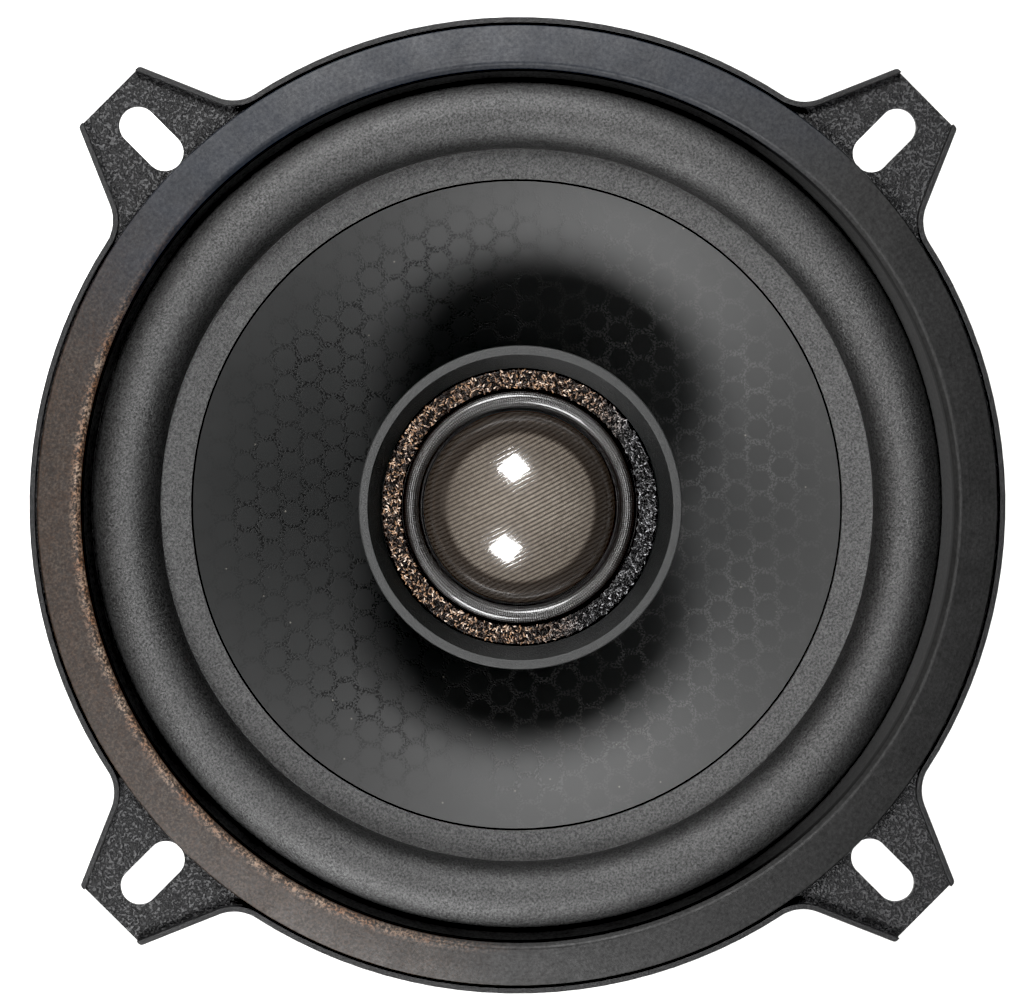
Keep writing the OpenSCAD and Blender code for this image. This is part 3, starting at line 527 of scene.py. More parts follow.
def phenolic_cotton():
    """Cotton, woven and stiffened with phenolic resin: golden tan and slightly shiny. The threads
    are drawn at 0.7 mm, about twice their size, so that they show."""
    material, tree, shader = finish_of("phenolic_cotton")
    thread = 0.7 * MM
    uv = add(tree, "ShaderNodeUVMap")
    warp, weft = (add(tree, STRIPES, {"Vector": uv, "Scale": WAVE / thread},
                      bands_direction=axis).outputs["Fac"] for axis in ("X", "Y"))
    parts = add(tree, "ShaderNodeSeparateXYZ", {0: uv}).outputs
    across, up = (
        add(tree, MATH, {0: add(tree, MATH, {0: parts[axis], 1: thread}, operation="DIVIDE")},
            operation="FLOOR") for axis in ("X", "Y"))
    over = add(tree, MATH, {0: across, 1: up}, operation="ADD")
    over = add(tree, MATH, {0: over, 1: 2}, operation="MODULO")
    over = add(tree, MATH, {0: over}, operation="ABSOLUTE")
    under = add(tree, MATH, {0: 1, 1: over}, operation="SUBTRACT")
    threads = add(tree, MATH, {
        0: add(tree, MATH, {0: over, 1: warp}, operation="MULTIPLY"),
        1: add(tree, MATH, {0: under, 1: weft}, operation="MULTIPLY")}, operation="ADD")
    fuzz = grain(tree, 0.15, 3)
    lit = add(tree, RANGE, {"Value": fuzz, **SPAN, "To Min": 0.6, "To Max": 1})
    shade = add(tree, MATH, {0: threads, 1: lit}, operation="MULTIPLY")
    join(shader, {
        "Base Color": add(tree, MIX, {0: shade, 6: srgb("#7d5f22"), 7: srgb("#c9a65a")},
                          data_type="RGBA"),
        "Roughness": add(tree, RANGE, {"Value": fuzz, **SPAN, "To Min": 0.42, "To Max": 0.6}),
        "Normal": add(tree, "ShaderNodeBump", {"Height": threads, "Distance": 0.08 * MM})})
    return material


def lacquered_silk():
    """Silk, woven and dipped in damping lacquer: black and wet-looking over a faint fine weave; in
    the two grooves beside the bead it is painted dark and dull, as painted shade."""
    material, tree, shader = finish_of("lacquered_silk", Roughness=0.32, Specular_IOR_Level=0.5)
    uv = add(tree, "ShaderNodeUVMap")
    warp, weft = (add(tree, STRIPES, {"Vector": uv, "Scale": WAVE / (0.3 * MM)},
                      bands_direction=axis).outputs["Fac"] for axis in ("X", "Y"))
    weave = add(tree, MATH, {0: warp, 1: weft}, operation="MULTIPLY")
    radius = radius_of(tree)
    # Painted shade: off the bead, in the grooves beside it, the silk is dark and dull
    rise = add(tree, RANGE, {"Value": radius, "From Min": 13.15 * MM, "From Max": 13.4 * MM})
    fall = add(tree, RANGE, {"Value": radius, "From Min": 15.3 * MM, "From Max": 15.5 * MM,
                             "To Min": 1, "To Max": 0})
    shine = add(tree, MATH, {0: rise, 1: fall}, operation="MULTIPLY")
    seen = add(tree, MATH, {0: weave, 1: shine}, operation="MULTIPLY")
    wet = add(tree, MATH, {0: shine, 1: 0.48}, operation="MULTIPLY")
    uneven = add(tree, MATH, {0: grain(tree, 0.4), 1: 0.2}, operation="MULTIPLY")
    height = add(tree, MATH, {0: weave, 1: grain(tree, 0.5)}, operation="ADD")
    join(shader, {
        "Base Color": add(tree, MIX, {0: seen, 6: srgb("#040303"), 7: srgb("#1a1613")},
                          data_type="RGBA"),
        "Specular IOR Level": add(tree, MATH, {0: wet, 1: uneven}, operation="ADD"),
        "Coat Weight": add(tree, MATH, {0: shine, 1: 0.3}, operation="MULTIPLY"),
        "Normal": add(tree, "ShaderNodeBump", {"Height": height, "Distance": 0.045 * MM})})
    return material


def enamelled_wire():
    """Copper wire, enamelled and wound in close turns: a dark copper cylinder of fine ridges, with
    painted highlight on each turn's crown and painted shade between the turns.
    """
    material, tree, shader = finish_of("enamelled_copper", Metallic=0.8, Coat_Weight=0.5)
    # The colour stripes follow the turns: painted highlight on the crowns, painted shade between
    turns = add(tree, STRIPES, {"Vector": add(tree, PLACE).outputs["Object"],
                              "Scale": WAVE / (0.25 * MM)}, bands_direction="Z").outputs["Fac"]
    join(shader, {
        "Base Color": add(tree, MIX, {0: turns, 6: srgb("#5c2410"), 7: srgb("#b3592b")},
                          data_type="RGBA"),
        "Roughness": patches(tree, 1, 0.25, 0.4),
        "Normal": add(tree, "ShaderNodeBump", {"Height": turns, "Distance": 0.06 * MM})})
    return material


def tinsel():
    """Tinned copper tinsel, braided over cotton: dull brass-silver with fine bright strands."""
    material, tree, shader = finish_of("braided_tinsel", Metallic=1)
    join(shader, {
        "Base Color": add(tree, MIX, {0: patches(tree, 0.5), 6: srgb("#8d6f45"),
                                      7: srgb("#cdb58a")}, data_type="RGBA"),
        "Roughness": patches(tree, 0.25, 0.28, 0.48),
        "Normal": add(tree, "ShaderNodeBump", {"Height": grain(tree, 0.1), "Distance": 0.02 * MM})})
    return material


def housing_abs():
    """ABS, injection moulded with a spark-eroded texture: charcoal, finely frosted on the rim."""
    material, tree, shader = finish_of("moulded_abs", Specular_IOR_Level=0.34)
    frost = grain(tree, 0.26, 4, 0.7)
    rim = add(tree, RANGE, {"Value": radius_of(tree), "From Min": 20.15 * MM,
                            "From Max": 20.25 * MM})
    wall = add(tree, MIX, {0: patches(tree, 4), 6: srgb("#070808"), 7: srgb("#0c0d0d")},
               data_type="RGBA")
    frosted = add(tree, MIX, {0: add(tree, RANGE, {"Value": frost, **SPAN}),
                              6: srgb("#101111"), 7: srgb("#1b1c1c")}, data_type="RGBA")
    join(shader, {
        "Base Color": add(tree, MIX, {0: rim, 6: wall, 7: frosted}, data_type="RGBA"),
        "Roughness": add(tree, RANGE, {"Value": rim, "To Min": 0.46, "To Max": 0.6}),
        "Specular IOR Level": add(tree, RANGE, {"Value": rim, "To Min": 0.3, "To Max": 0.5}),
        "Normal": add(tree, "ShaderNodeBump", {"Height": frost, "Distance": 0.08 * MM})})
    return material


def painted_glint_weave():
    """Silk flange dipped in lacquer, its threads standing up: black-brown, with single threads
    painted bright as painted glints, gold on one side as painted warm light and plain grey on the
    other."""
    material, tree, shader = finish_of("lacquered_weave", Specular_IOR_Level=0.5)
    tone = add(tree, "ShaderNodeAttribute", attribute_name="painted_glint_tone").outputs["Fac"]
    gold, grey = (add(tree, "ShaderNodeValToRGB", {0: tone}) for _ in range(2))
    for ramp, colours in ((gold, ("#060403", "#0d0907", "#35261c", "#75583f", "#a8988a")),
                          (grey, ("#050505", "#0b0b0c", "#1b1b1c", "#3c3c3e", "#6a6a6c"))):
        steps = ramp.color_ramp.elements
        for position in (0.38, 0.66, 0.9):
            steps.new(position)
        for step, colour in zip(steps, colours):
            step.color = srgb(colour)
    # Painted warm light: the glints are gold on one side of the view and grey on the other
    side = add(tree, RANGE, {"Value": across_view(tree, 0.9, -0.2), "From Min": 2 * MM,
                             "From Max": 12 * MM}, interpolation_type="SMOOTHSTEP")
    join(shader, {
        "Base Color": add(tree, MIX, {0: side, 6: gold, 7: grey}, data_type="RGBA"),
        "Roughness": add(tree, RANGE, {"Value": tone, "To Min": 0.5, "To Max": 0.25}),
        "Specular IOR Level": add(tree, RANGE, {"Value": tone, "From Min": 0.3, "To Min": 0.1,
                                                "To Max": 0.9}),
        "Normal": add(tree, "ShaderNodeBump", {"Height": grain(tree, 0.12),
                                               "Distance": 0.03 * MM})})
    return material


RIB_PITCH = 0.54  # one rib of the silk to the next, drawn coarse enough to show
RIB_TURN = math.radians(45 - 27)  # the ribs fall to the view's right at this slope


def dome_silk():
    """Silk dome, woven, pressed and lacquered: half clear, with brown ribs and a hard gloss."""
    material, tree, shader = finish_of("pressed_silk", IOR=1.6, Coat_Weight=1.0,
                                       Coat_Roughness=0.05)
    turned = add(tree, "ShaderNodeMapping", {"Vector": add(tree, PLACE).outputs["Object"],
                                             "Rotation": (0, 0, RIB_TURN)})
    ribs = add(tree, STRIPES, {"Vector": turned, "Scale": WAVE / (RIB_PITCH * MM),
                             "Distortion": 0.6, "Detail Scale": 2}, bands_direction="Y")
    cross = add(tree, STRIPES, {"Vector": turned, "Scale": WAVE / (0.22 * MM), "Distortion": 1},
                bands_direction="X")
    # Thin dark gaps between broad threads
    broad = add(tree, RANGE, {"Value": ribs.outputs["Fac"], "From Min": 0.05, "From Max": 0.6})
    broad = add(tree, MATH, {0: broad, 1: 0.8}, operation="MULTIPLY")
    thin = add(tree, MATH, {0: cross.outputs["Fac"], 1: 0.2}, operation="MULTIPLY")
    threads = add(tree, MATH, {0: broad, 1: thin}, operation="ADD")
    brown = add(tree, MIX, {0: threads, 6: srgb("#1a1613"), 7: srgb("#6a625a")},
                data_type="RGBA")
    # Near its foot the dome is darker and less clear
    radius = radius_of(tree)
    edge, solid = (
        add(tree, RANGE, {"Value": radius, "From Min": 9.3 * MM, "From Max": far * MM,
                          "To Max": most}, interpolation_type="SMOOTHSTEP")
        for far, most in ((10.2, 0.8), (10.3, 0.5)))
    gaps = add(tree, RANGE, {"Value": threads, "To Min": 0.7, "To Max": 0.34})
    join(shader, {
        "Base Color": add(tree, MIX, {0: edge, 6: brown, 7: srgb("#0d0806")}, data_type="RGBA"),
        "Alpha": add(tree, MATH, {0: gaps, 1: solid}, operation="ADD"),
        "Roughness": add(tree, RANGE, {"Value": threads, "To Min": 0.2, "To Max": 0.12}),
        "Normal": add(tree, "ShaderNodeBump", {"Height": threads, "Distance": 0.012 * MM})})
    return material


steel_coat = powder_coat()
gasket = gasket_rubber()
butyl = surround_rubber()
polypropylene = cone_polypropylene()
spider_cotton = phenolic_cotton()
coated_silk = lacquered_silk()
copper = enamelled_wire()
braid = tinsel()
abs_plastic = housing_abs()
painted_glint_finish = painted_glint_weave()
silk = dome_silk()


# ---- pieces ----
def dress(obj, material, slot, *stands_for, body="frame"):
    """Gives a new piece its finish, hides the nodes it stands for and puts it on its body; slot is
    not used.
    """
    obj.data.materials.clear()
    obj.data.materials.append(material)
    if stands_for:
        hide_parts(*stands_for)
    if body:
        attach(obj, body)
    return obj


def bend_by_radius(obj):
    """Bakes the piece's placement into its mesh and reads its points; nothing is bent."""
    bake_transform(obj)
    co = np.zeros(len(obj.data.vertices) * 3, np.float32)
    obj.data.vertices.foreach_get("co", co)


# Nodes whose own shape is right: only the finish is new
for name, material in {
    "basket": steel_coat, "plate_rivets": zinc, "top_plate": zinc, "ring_magnet": ferrite,
    "back_plate": zinc, "magnet_boot": boot_rubber, "coil_former": former_film,
    "coil_winding": copper, "terminal_board": board_nylon, "board_screw": zinc,
    "positive_spade": tinned_brass, "negative_spade": tinned_brass, "spade_rivets": tinned_brass,
    "solder_lugs": tinned_brass, "tweeter_post": anodised, "post_washer": zinc, "post_nut": zinc,
    "tweeter_back_cap": abs_plastic, "tweeter_former": former_film, "tweeter_winding": copper,
    "tweeter_pot": zinc, "tweeter_magnet": nickel, "tweeter_pole_plate": zinc,
}.items():
    nodes[name].data.materials.clear()
    nodes[name].data.materials.append(material)

# Gasket: crest near its inner edge, falling away outwards
dress(lathe("gasket_ring", rounded([
    (64, 0.9, 0), (64, 2.25, 0.3), (58.8, 2.95, 0.7), (58.1, 2.3, 0.4), (57, -0.8, 0),
    (59.9, -0.8, 0), (59.9, 0.9, 0)], 10), 360), gasket, "gasket_rubber", "front_gasket")

# Surround: lip on the cone, half roll, land on the basket's step
CONE_R, EDGE_Z, RUBBER = 43.8, -3.4, 0.7
feet = [Vector((48.3, EDGE_Z + RUBBER / 2)), Vector((56.7, -0.8 - RUBBER / 2))]
RISE = 3.9
LIP_FALL = 0.6  # the lip leans in with the cone by this much
span = feet[1] - feet[0]
roll_r = (span.length_squared / 4 + RISE * RISE) / (2 * RISE)
level = Vector((-span.y, span.x)).normalized()
section = roll((feet[0] + feet[1]) / 2 + level * (RISE - roll_r), roll_r, RUBBER,
               (CONE_R + 0.08, EDGE_Z + RUBBER), (59.4, -0.8))
for corner in (section[0], section[-1]):
    corner.y -= LIP_FALL
surround = lathe("surround_roll", section, 360)
dress(surround, butyl, "surround_rubber", "surround", body=None)
bend_by_radius(surround)

# Cone: a flared shell with a flat edge, a narrow groove beside the lip and a neck collar
COIL_R, DEPTH, WALL = 12.95, 14.6, 0.55


def cone_height(r):
    """Height of the cone's front face at that radius."""
    t = (CONE_R - r) / (CONE_R - COIL_R + 0.2)
    return EDGE_Z - DEPTH * (0.75 * t + 0.25 * t * t)


radii = [COIL_R + (CONE_R - 0.18 - COIL_R) * k / 48 for k in range(49)]
front = [(r, cone_height(r)) for r in radii]
front += [(CONE_R - 0.12, EDGE_Z - 0.5), (CONE_R + 0.04, EDGE_Z - 0.85),
          (CONE_R + 0.12, EDGE_Z - LIP_FALL), (47.8, EDGE_Z - 0.05)]
rear = [(47.8, EDGE_Z - 0.05 - WALL)]
rear += [(r, cone_height(r) - WALL) for r in reversed(radii) if r > COIL_R + 0.6]
neck = [(COIL_R + 0.5, cone_height(COIL_R) - 0.6), (COIL_R + 0.5, EDGE_Z - DEPTH - 2.4),
        (COIL_R, EDGE_Z - DEPTH - 2.4)]
dress(lathe("cone_shell", front + rear + neck, 360), polypropylene, "cone_polypropylene", "cone",
      body="cone_assembly")

# Spider: five corrugations from the coil's collar to the ledge
WAVES, WAVE_IN, WAVE_OUT, SPIDER_Z = 5, 14.6, 36.8, -23.1
wavy = [(WAVE_IN + (WAVE_OUT - WAVE_IN) * k / 80,
         SPIDER_Z - 0.8 * math.sin(2 * math.pi * WAVES * k / 80)) for k in range(81)]
top = [(13, SPIDER_Z + 1.4), (13.5, SPIDER_Z + 1.4), (13.8, SPIDER_Z), *wavy, (38.4, -23.5),
       (43.7, -23.5)]
under = [(43.7, -24), (38.4, -24)] + [(r, z - 0.5) for r, z in reversed(wavy)]
spider = lathe("spider_disc", [Vector(p) for p in top + under + [(13, SPIDER_Z - 0.5)]], 288, 60)
dress(spider, spider_cotton, "spider_cloth", "spider", body=None)
bend_by_radius(spider)

# Tweeter cup: broad rim, conical inner wall, shelf for the diaphragm
dress(lathe("tweeter_cup", rounded([
    (15.4, -1, 0), (15.4, 3, 0), (18.4, 3, 0), (18.4, 3.9, 0.2), (20.2, 5.9, 0.15),
    (21.4, 5.9, 0.25), (21.4, 4.3, 0.6), (20.9, -2, 3), (19.8, -6.5, 3), (17.9, -10.2, 0.8),
    (16.1, -10.2, 0), (16.1, -1, 0)], 8), 288), abs_plastic, "housing_abs", "tweeter_housing")

# Tweeter diaphragm: lacquered bead between two flat flanges, and the dome inside it
bead = lathe("tweeter_bead", roll((14.4, 3.15), 1.0, 0.3, (12.75, 3.3), (18.25, 3.3), 28), 288)
dress(bead, coated_silk, "coated_silk", "tweeter_suspension", body=None)
bend_by_radius(bead)
DOME_FOOT, DOME_BASE, SPHERE = 12.7, 3.2, 15
centre_z = DOME_BASE - math.sqrt(SPHERE ** 2 - DOME_FOOT ** 2)
arcs = []
for sphere_r in (SPHERE, SPHERE - 0.25):
    low = math.degrees(math.asin((DOME_BASE - centre_z) / sphere_r))
    arcs.append([Vector((0, centre_z)) + polar(sphere_r, low + (90 - low) * k / 48)
                 for k in range(49)])
for arc in arcs:
    arc[-1].x = 0
dress(lathe("tweeter_dome_skin", arcs[0] + arcs[1][::-1], 240), silk, "dome_silk",
      "tweeter_dome", body="tweeter_diaphragm")
dress(lathe("damping_disc", rounded([(0, -1, 0), (10.4, -1, 0.1), (10.4, 0.2, 0.35),
                                     (0, 0.2, 0)], 5), 144),
      felt, "felt", "damping_pad")


def evaluated(obj, name):
    """A plain mesh object from one with a modifier, which is then removed."""
    graph = bpy.context.evaluated_depsgraph_get()
    mesh = bpy.data.meshes.new_from_object(obj.evaluated_get(graph), depsgraph=graph)
    bpy.data.objects.remove(obj)
    mesh.shade_smooth()
    return placed(name, mesh)


def node_tree(name, inputs):
    """An empty Geometry Nodes tree with named inputs (name: kind) and its two ends."""
    tree = bpy.data.node_groups.new(name, "GeometryNodeTree")
    tree.interface.new_socket("Geometry", in_out="INPUT", socket_type="NodeSocketGeometry")
    tree.interface.new_socket("Geometry", in_out="OUTPUT", socket_type="NodeSocketGeometry")
    for key, kind in inputs.items():
        tree.interface.new_socket(key, in_out="INPUT", socket_type="NodeSocket" + kind)
    return tree, tree.nodes.new("NodeGroupInput"), tree.nodes.new("NodeGroupOutput")


def with_tree(obj, tree, values):
    """Puts the tree on the object and sets its named inputs by identifier."""
    modifier = obj.modifiers.new(tree.name, "NODES")
    modifier.node_group = tree
    for item in tree.interface.items_tree:
        if item.in_out == "INPUT" and item.name in values:
            modifier[item.identifier] = values[item.name]
    return obj


def weave_tree():
    """Threads standing up from a woven flange: a hump on each crossing, every second one turned."""
    tree, given, out = node_tree("woven_flange", {
        "Pitch": "Float", "Inner": "Float", "Outer": "Float", "Height": "Float",
        "Turn": "Float", "Finish": "Material"})
    get = given.outputs
    reach = add(tree, MATH, {0: get["Outer"], 1: get["Pitch"]}, operation="DIVIDE")
    cells = add(tree, MATH, {0: reach}, operation="CEIL")
    both_ways = add(tree, MATH, {0: cells, 1: 2}, operation="MULTIPLY")
    count = add(tree, MATH, {0: both_ways, 1: 1}, operation="ADD")
    size = add(tree, MATH, {0: both_ways, 1: get["Pitch"]}, operation="MULTIPLY")
    grid = add(tree, "GeometryNodeMeshGrid", {"Size X": size, "Size Y": size,
                                              "Vertices X": count, "Vertices Y": count})
    place = add(tree, "GeometryNodeInputPosition")
    far = add(tree, VECTOR, {0: place}, operation="LENGTH")
    outside = add(tree, "FunctionNodeBooleanMath", {
        0: add(tree, MATH, {0: far, 1: get["Inner"]}, operation="LESS_THAN"),
        1: add(tree, MATH, {0: far, 1: get["Outer"]}, operation="GREATER_THAN")},
        operation="OR")
    kept = add(tree, "GeometryNodeDeleteGeometry", {"Geometry": grid, "Selection": outside})
    parts = add(tree, "ShaderNodeSeparateXYZ", {0: place}).outputs
    column, row = (
        add(tree, MATH, {0: add(tree, MATH, {0: parts[axis], 1: get["Pitch"]},
                                operation="DIVIDE")}, operation="ROUND") for axis in ("X", "Y"))
    odd = add(tree, MATH, {0: column, 1: row}, operation="ADD")
    odd = add(tree, MATH, {0: odd, 1: 2}, operation="MODULO")
    odd = add(tree, MATH, {0: odd}, operation="ABSOLUTE")
    hump = add(tree, "GeometryNodeMeshUVSphere", {"Segments": 8, "Rings": 4, "Radius": 1.0})
    tilt = add(tree, "FunctionNodeRandomValue",
               {0: (-0.4, -0.4, -0.9), 1: (0.4, 0.4, 0.9), "Seed": 5}, data_type="FLOAT_VECTOR")
    spin = add(tree, "ShaderNodeCombineXYZ", {
        "Z": add(tree, MATH, {0: odd, 1: math.pi / 2}, operation="MULTIPLY")})
    turned = add(tree, VECTOR, {0: tilt, 1: spin}, operation="ADD")
    longer = add(tree, VECTOR, {0: (0.9, 0.36, 0.3), "Scale": get["Pitch"]}, operation="SCALE")
    lively = add(tree, "FunctionNodeRandomValue", {2: 0.8, 3: 1.2, "Seed": 9}, data_type="FLOAT")
    sized = add(tree, VECTOR, {0: longer, "Scale": lively}, operation="SCALE")
    humps = add(tree, "GeometryNodeInstanceOnPoints",
                {"Points": kept, "Instance": hump, "Rotation": turned, "Scale": sized})
    # A random tone per thread picks which threads are painted bright as glints
    tone = add(tree, "FunctionNodeRandomValue", {2: 0.0, 3: 1.0, "Seed": 3}, data_type="FLOAT")
    toned = add(tree, "GeometryNodeStoreNamedAttribute",
                {"Geometry": humps, "Name": "painted_glint_tone", "Value": tone},
                data_type="FLOAT", domain="INSTANCE")
    real = add(tree, "GeometryNodeRealizeInstances", {0: toned})
    moved = add(tree, "GeometryNodeTransform", {
        "Geometry": real, "Translation": add(tree, "ShaderNodeCombineXYZ", {"Z": get["Height"]}),
        "Rotation": add(tree, "ShaderNodeCombineXYZ", {"Z": get["Turn"]})})
    last = add(tree, "GeometryNodeSetMaterial", {"Geometry": moved, "Material": get["Finish"]})
    join(out, {0: last})
    return tree


THREAD = 0.3  # coarser than real silk, so that the threads show
THREAD = 0.3
ring = lathe("trim_ring_base", rounded([(15.7, 3.3, 0), (18.25, 3.3, 0), (18.25, 4.0, 0.25),
                                        (15.7, 4.0, 0.3)]), 240)
dress(ring, coated_silk, "flocked_cloth", "tweeter_trim_ring")
empty = placed("threads", bpy.data.meshes.new("threads"))
threads = evaluated(with_tree(empty, weave_tree(), {
    "Pitch": THREAD * MM, "Inner": 15.8 * MM, "Outer": 18.15 * MM, "Height": 4.0 * MM,
    "Turn": math.radians(-45 + 27), "Finish": painted_glint_finish}), "trim_ring_threads")
dress(threads, painted_glint_finish, "flocked_cloth", "tweeter_trim_ring")


def braid_tree():
    """Strands wound both ways round a route, passing over and under each other."""
    tree, given, out = node_tree("braid", {
        "Strands": "Int", "Lay": "Float", "Radius": "Float", "Strand": "Float",
        "Finish": "Material"})
    get = given.outputs
    fine = add(tree, "GeometryNodeResampleCurve",
               {"Curve": get["Geometry"], "Length": 0.18 * MM}, mode="LENGTH")
    copies = add(tree, "GeometryNodeDuplicateElements",
                 {"Geometry": fine, "Amount": get["Strands"]}, domain="SPLINE")
    number = copies.outputs["Duplicate Index"]
    # Every second strand goes round the other way
    odd = add(tree, MATH, {0: number, 1: 2}, operation="MODULO")
    odd = add(tree, MATH, {0: odd, 1: 2}, operation="MULTIPLY")
    way = add(tree, MATH, {0: 1, 1: odd}, operation="SUBTRACT")
    along = add(tree, "GeometryNodeSplineParameter").outputs["Length"]
    lays = add(tree, MATH, {0: along, 1: get["Lay"]}, operation="DIVIDE")
    wound = add(tree, MATH, {0: lays, 1: 2 * math.pi}, operation="MULTIPLY")
    share = add(tree, MATH, {0: number, 1: 2 * math.pi}, operation="MULTIPLY")
    share = add(tree, MATH, {0: share, 1: get["Strands"]}, operation="DIVIDE")
    angle = add(tree, MATH, {0: wound, 1: way}, operation="MULTIPLY")
    angle = add(tree, MATH, {0: angle, 1: share}, operation="ADD")
    # Strands pass over and under each other
    crossings = add(tree, MATH, {0: get["Strands"], 1: 2}, operation="DIVIDE")
    weave = add(tree, MATH, {0: wound, 1: crossings}, operation="MULTIPLY")
    weave = add(tree, MATH, {0: weave}, operation="SINE")
    half_strand = add(tree, MATH, {0: get["Strand"], 1: 0.5}, operation="MULTIPLY")
    weave = add(tree, MATH, {0: weave, 1: half_strand}, operation="MULTIPLY")
    weave = add(tree, MATH, {0: weave, 1: way}, operation="MULTIPLY")
    reach = add(tree, MATH, {0: get["Radius"], 1: weave}, operation="ADD")
    normal = add(tree, "GeometryNodeInputNormal")
    tangent = add(tree, "GeometryNodeInputTangent")
    side = add(tree, VECTOR, {0: tangent, 1: normal}, operation="CROSS_PRODUCT")
    parts = []
    for direction, wave in ((normal, "COSINE"), (side, "SINE")):
        part = add(tree, MATH, {0: angle}, operation=wave)
        part = add(tree, MATH, {0: part, 1: reach}, operation="MULTIPLY")
        parts.append(add(tree, VECTOR, {0: direction, "Scale": part}, operation="SCALE"))
    offset = add(tree, VECTOR, dict(enumerate(parts)), operation="ADD")
    moved = add(tree, "GeometryNodeSetPosition", {"Geometry": copies, "Offset": offset})
    section = add(tree, "GeometryNodeCurvePrimitiveCircle",
                  {"Resolution": 6, "Radius": get["Strand"]})
    tube = add(tree, "GeometryNodeCurveToMesh",
               {"Curve": moved, "Profile Curve": section, "Fill Caps": True})
    real = add(tree, "GeometryNodeRealizeInstances", {0: tube})
    last = add(tree, "GeometryNodeSetMaterial", {"Geometry": real, "Material": get["Finish"]})
    join(out, {0: last})
    return tree


def route_curve(name, route):
    """A fine polyline along a route in the terminals' own axes."""
    curve = bpy.data.curves.new(name, "CURVE")
    curve.dimensions = "3D"
    points = [TERMINALS @ (p * MM) for p in smooth_route(route, 10)]
    spline = curve.splines.new("POLY")
    spline.points.add(len(points) - 1)
    for point, place in zip(spline.points, points):
        point.co = (*place, 1)
    return placed(name, curve)


# Flexible leads from the cone to the tabs: they hang in a sag that leaves room for the travel
SPADE_AT, LUG_AT, TAB_IN, ANCHOR_AT = 6.6, 11.4, 46.5, 23
braiding = braid_tree()
for side, which in ((1, "positive"), (-1, "negative")):
    y = side * SPADE_AT
    route = [(ANCHOR_AT, y, -14.4), (ANCHOR_AT, y, -15.4), (24.3, y, -17.1), (26.8, y, -18.3),
             (30, y, -18.8), (33.2, y, -18.4), (36.2, y, -17.2), (39, y, -15.4),
             (41.6, y, -13.4), (44, y, -11.9), (45.4, y, -11.3), (TAB_IN + 0.9, y, -11.2)]
    lead = evaluated(with_tree(route_curve("route", route), braiding, {
        "Strands": 8, "Lay": 4.2 * MM, "Radius": 0.42 * MM, "Strand": 0.15 * MM,
        "Finish": braid}), "tinsel_lead_" + which)
    dress(lead, braid, "tinsel_braid", "tinsel_leads", body=None)
    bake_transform(lead)


def blob(name, places, material, slot, *stands_for, body="frame"):
    """Domed drops of (local place, radius, height, axis), a little uneven, as one piece."""
    shuffle = random.Random(4)
    verts, faces = [], []
    rings, around = 7, 20
    for place, radius, height, turn in places:
        base = len(verts)
        uneven = [1 + shuffle.uniform(-0.09, 0.09) for _ in range(around)]
        uneven = [(uneven[k - 1] + uneven[k] + uneven[(k + 1) % around]) / 3
                  for k in range(around)]
        for i in range(rings):
            a = math.pi / 2 * i / rings
            for k in range(around):
                flat = polar(radius * math.cos(a) * uneven[k], 360 * k / around)
                point = turn @ Vector((flat.x, flat.y, height * math.sin(a)))
                verts.append(TERMINALS @ ((Vector(place) + point) * MM))
        verts.append(TERMINALS @ ((Vector(place) + turn @ Vector((0, 0, height))) * MM))
        for i in range(rings - 1):
            for k in range(around):
                n, a, b = (k + 1) % around, base + i * around, base + (i + 1) * around
                faces.append([a + k, a + n, b + n, b + k])
        cap = base + (rings - 1) * around
        faces += [[cap + k, cap + (k + 1) % around, len(verts) - 1] for k in range(around)]
        faces.append([base + k for k in reversed(range(around))])
    return dress(new_object(name, verts, faces), material, slot, *stands_for, body=body)


# Glue on the lead anchors, solder on the tabs and lugs
slope = math.atan(cone_height(ANCHOR_AT + 0.5) - cone_height(ANCHOR_AT - 0.5))
down = Matrix.Rotation(-slope, 3, "Y") @ Matrix.Rotation(math.pi, 3, "X")
upright = Matrix.Identity(3)
outward = Matrix.Rotation(math.pi / 2, 3, "Y")
cone_back = cone_height(ANCHOR_AT) - WALL
blob("anchor_glue", [((ANCHOR_AT, s * SPADE_AT, cone_back + 0.2), 2.1, 2.2, down)
                     for s in (1, -1)], adhesive, "amber_adhesive", "lead_anchors",
     body="cone_assembly")
blob("solder_joints",
     [((TAB_IN + 0.9, s * SPADE_AT, -10.9), 1.3, 0.8, upright) for s in (1, -1)]
     + [((56.3, s * LUG_AT, -17.2), 0.95, 1.0, outward) for s in (1, -1)]
     + [((56.3, -LUG_AT, -12.3), 0.8, 0.8, outward)],
     tinned_wire, "tinned_wire")

# Capacitor: crimped can in a shrink sleeve, lying across the top of the board
X, Z, CAN, LENGTH, BUNG = 57.15, -7, 2.7, 12, 1.9
lying = TERMINALS @ Matrix.Translation(Vector((X, LENGTH / 2, Z)) * MM) @ Matrix.Rotation(
    math.pi / 2, 4, "X")
can = lathe("capacitor_can", rounded([
    (0, 0.45, 0), (BUNG, 0.45, 0.1), (2.1, 0.05, 0.15), (CAN - 0.05, 0.05, 0.35),
    (CAN - 0.05, 1.5, 0.2), (CAN - 0.4, 1.9, 0.25), (CAN - 0.05, 2.3, 0.2),
    (CAN, LENGTH - 2.3, 0.2), (CAN - 0.4, LENGTH - 1.9, 0.25), (CAN, LENGTH - 1.5, 0.2),
    (CAN, LENGTH - 0.05, 0.35), (2.1, LENGTH - 0.05, 0.15), (BUNG, LENGTH - 0.45, 0.1),
    (0, LENGTH - 0.45, 0)]), 64, 50, place=lying)
dress(can, sleeve, "capacitor_sleeve", "crossover_capacitor")
can.data.materials.append(bung)
for face in can.data.polygons:
    local = lying.inverted() @ face.center
    if math.hypot(local.x, local.y) < (BUNG + 0.05) * MM:
        face.material_index = 1
END, FACE = LENGTH / 2, 56
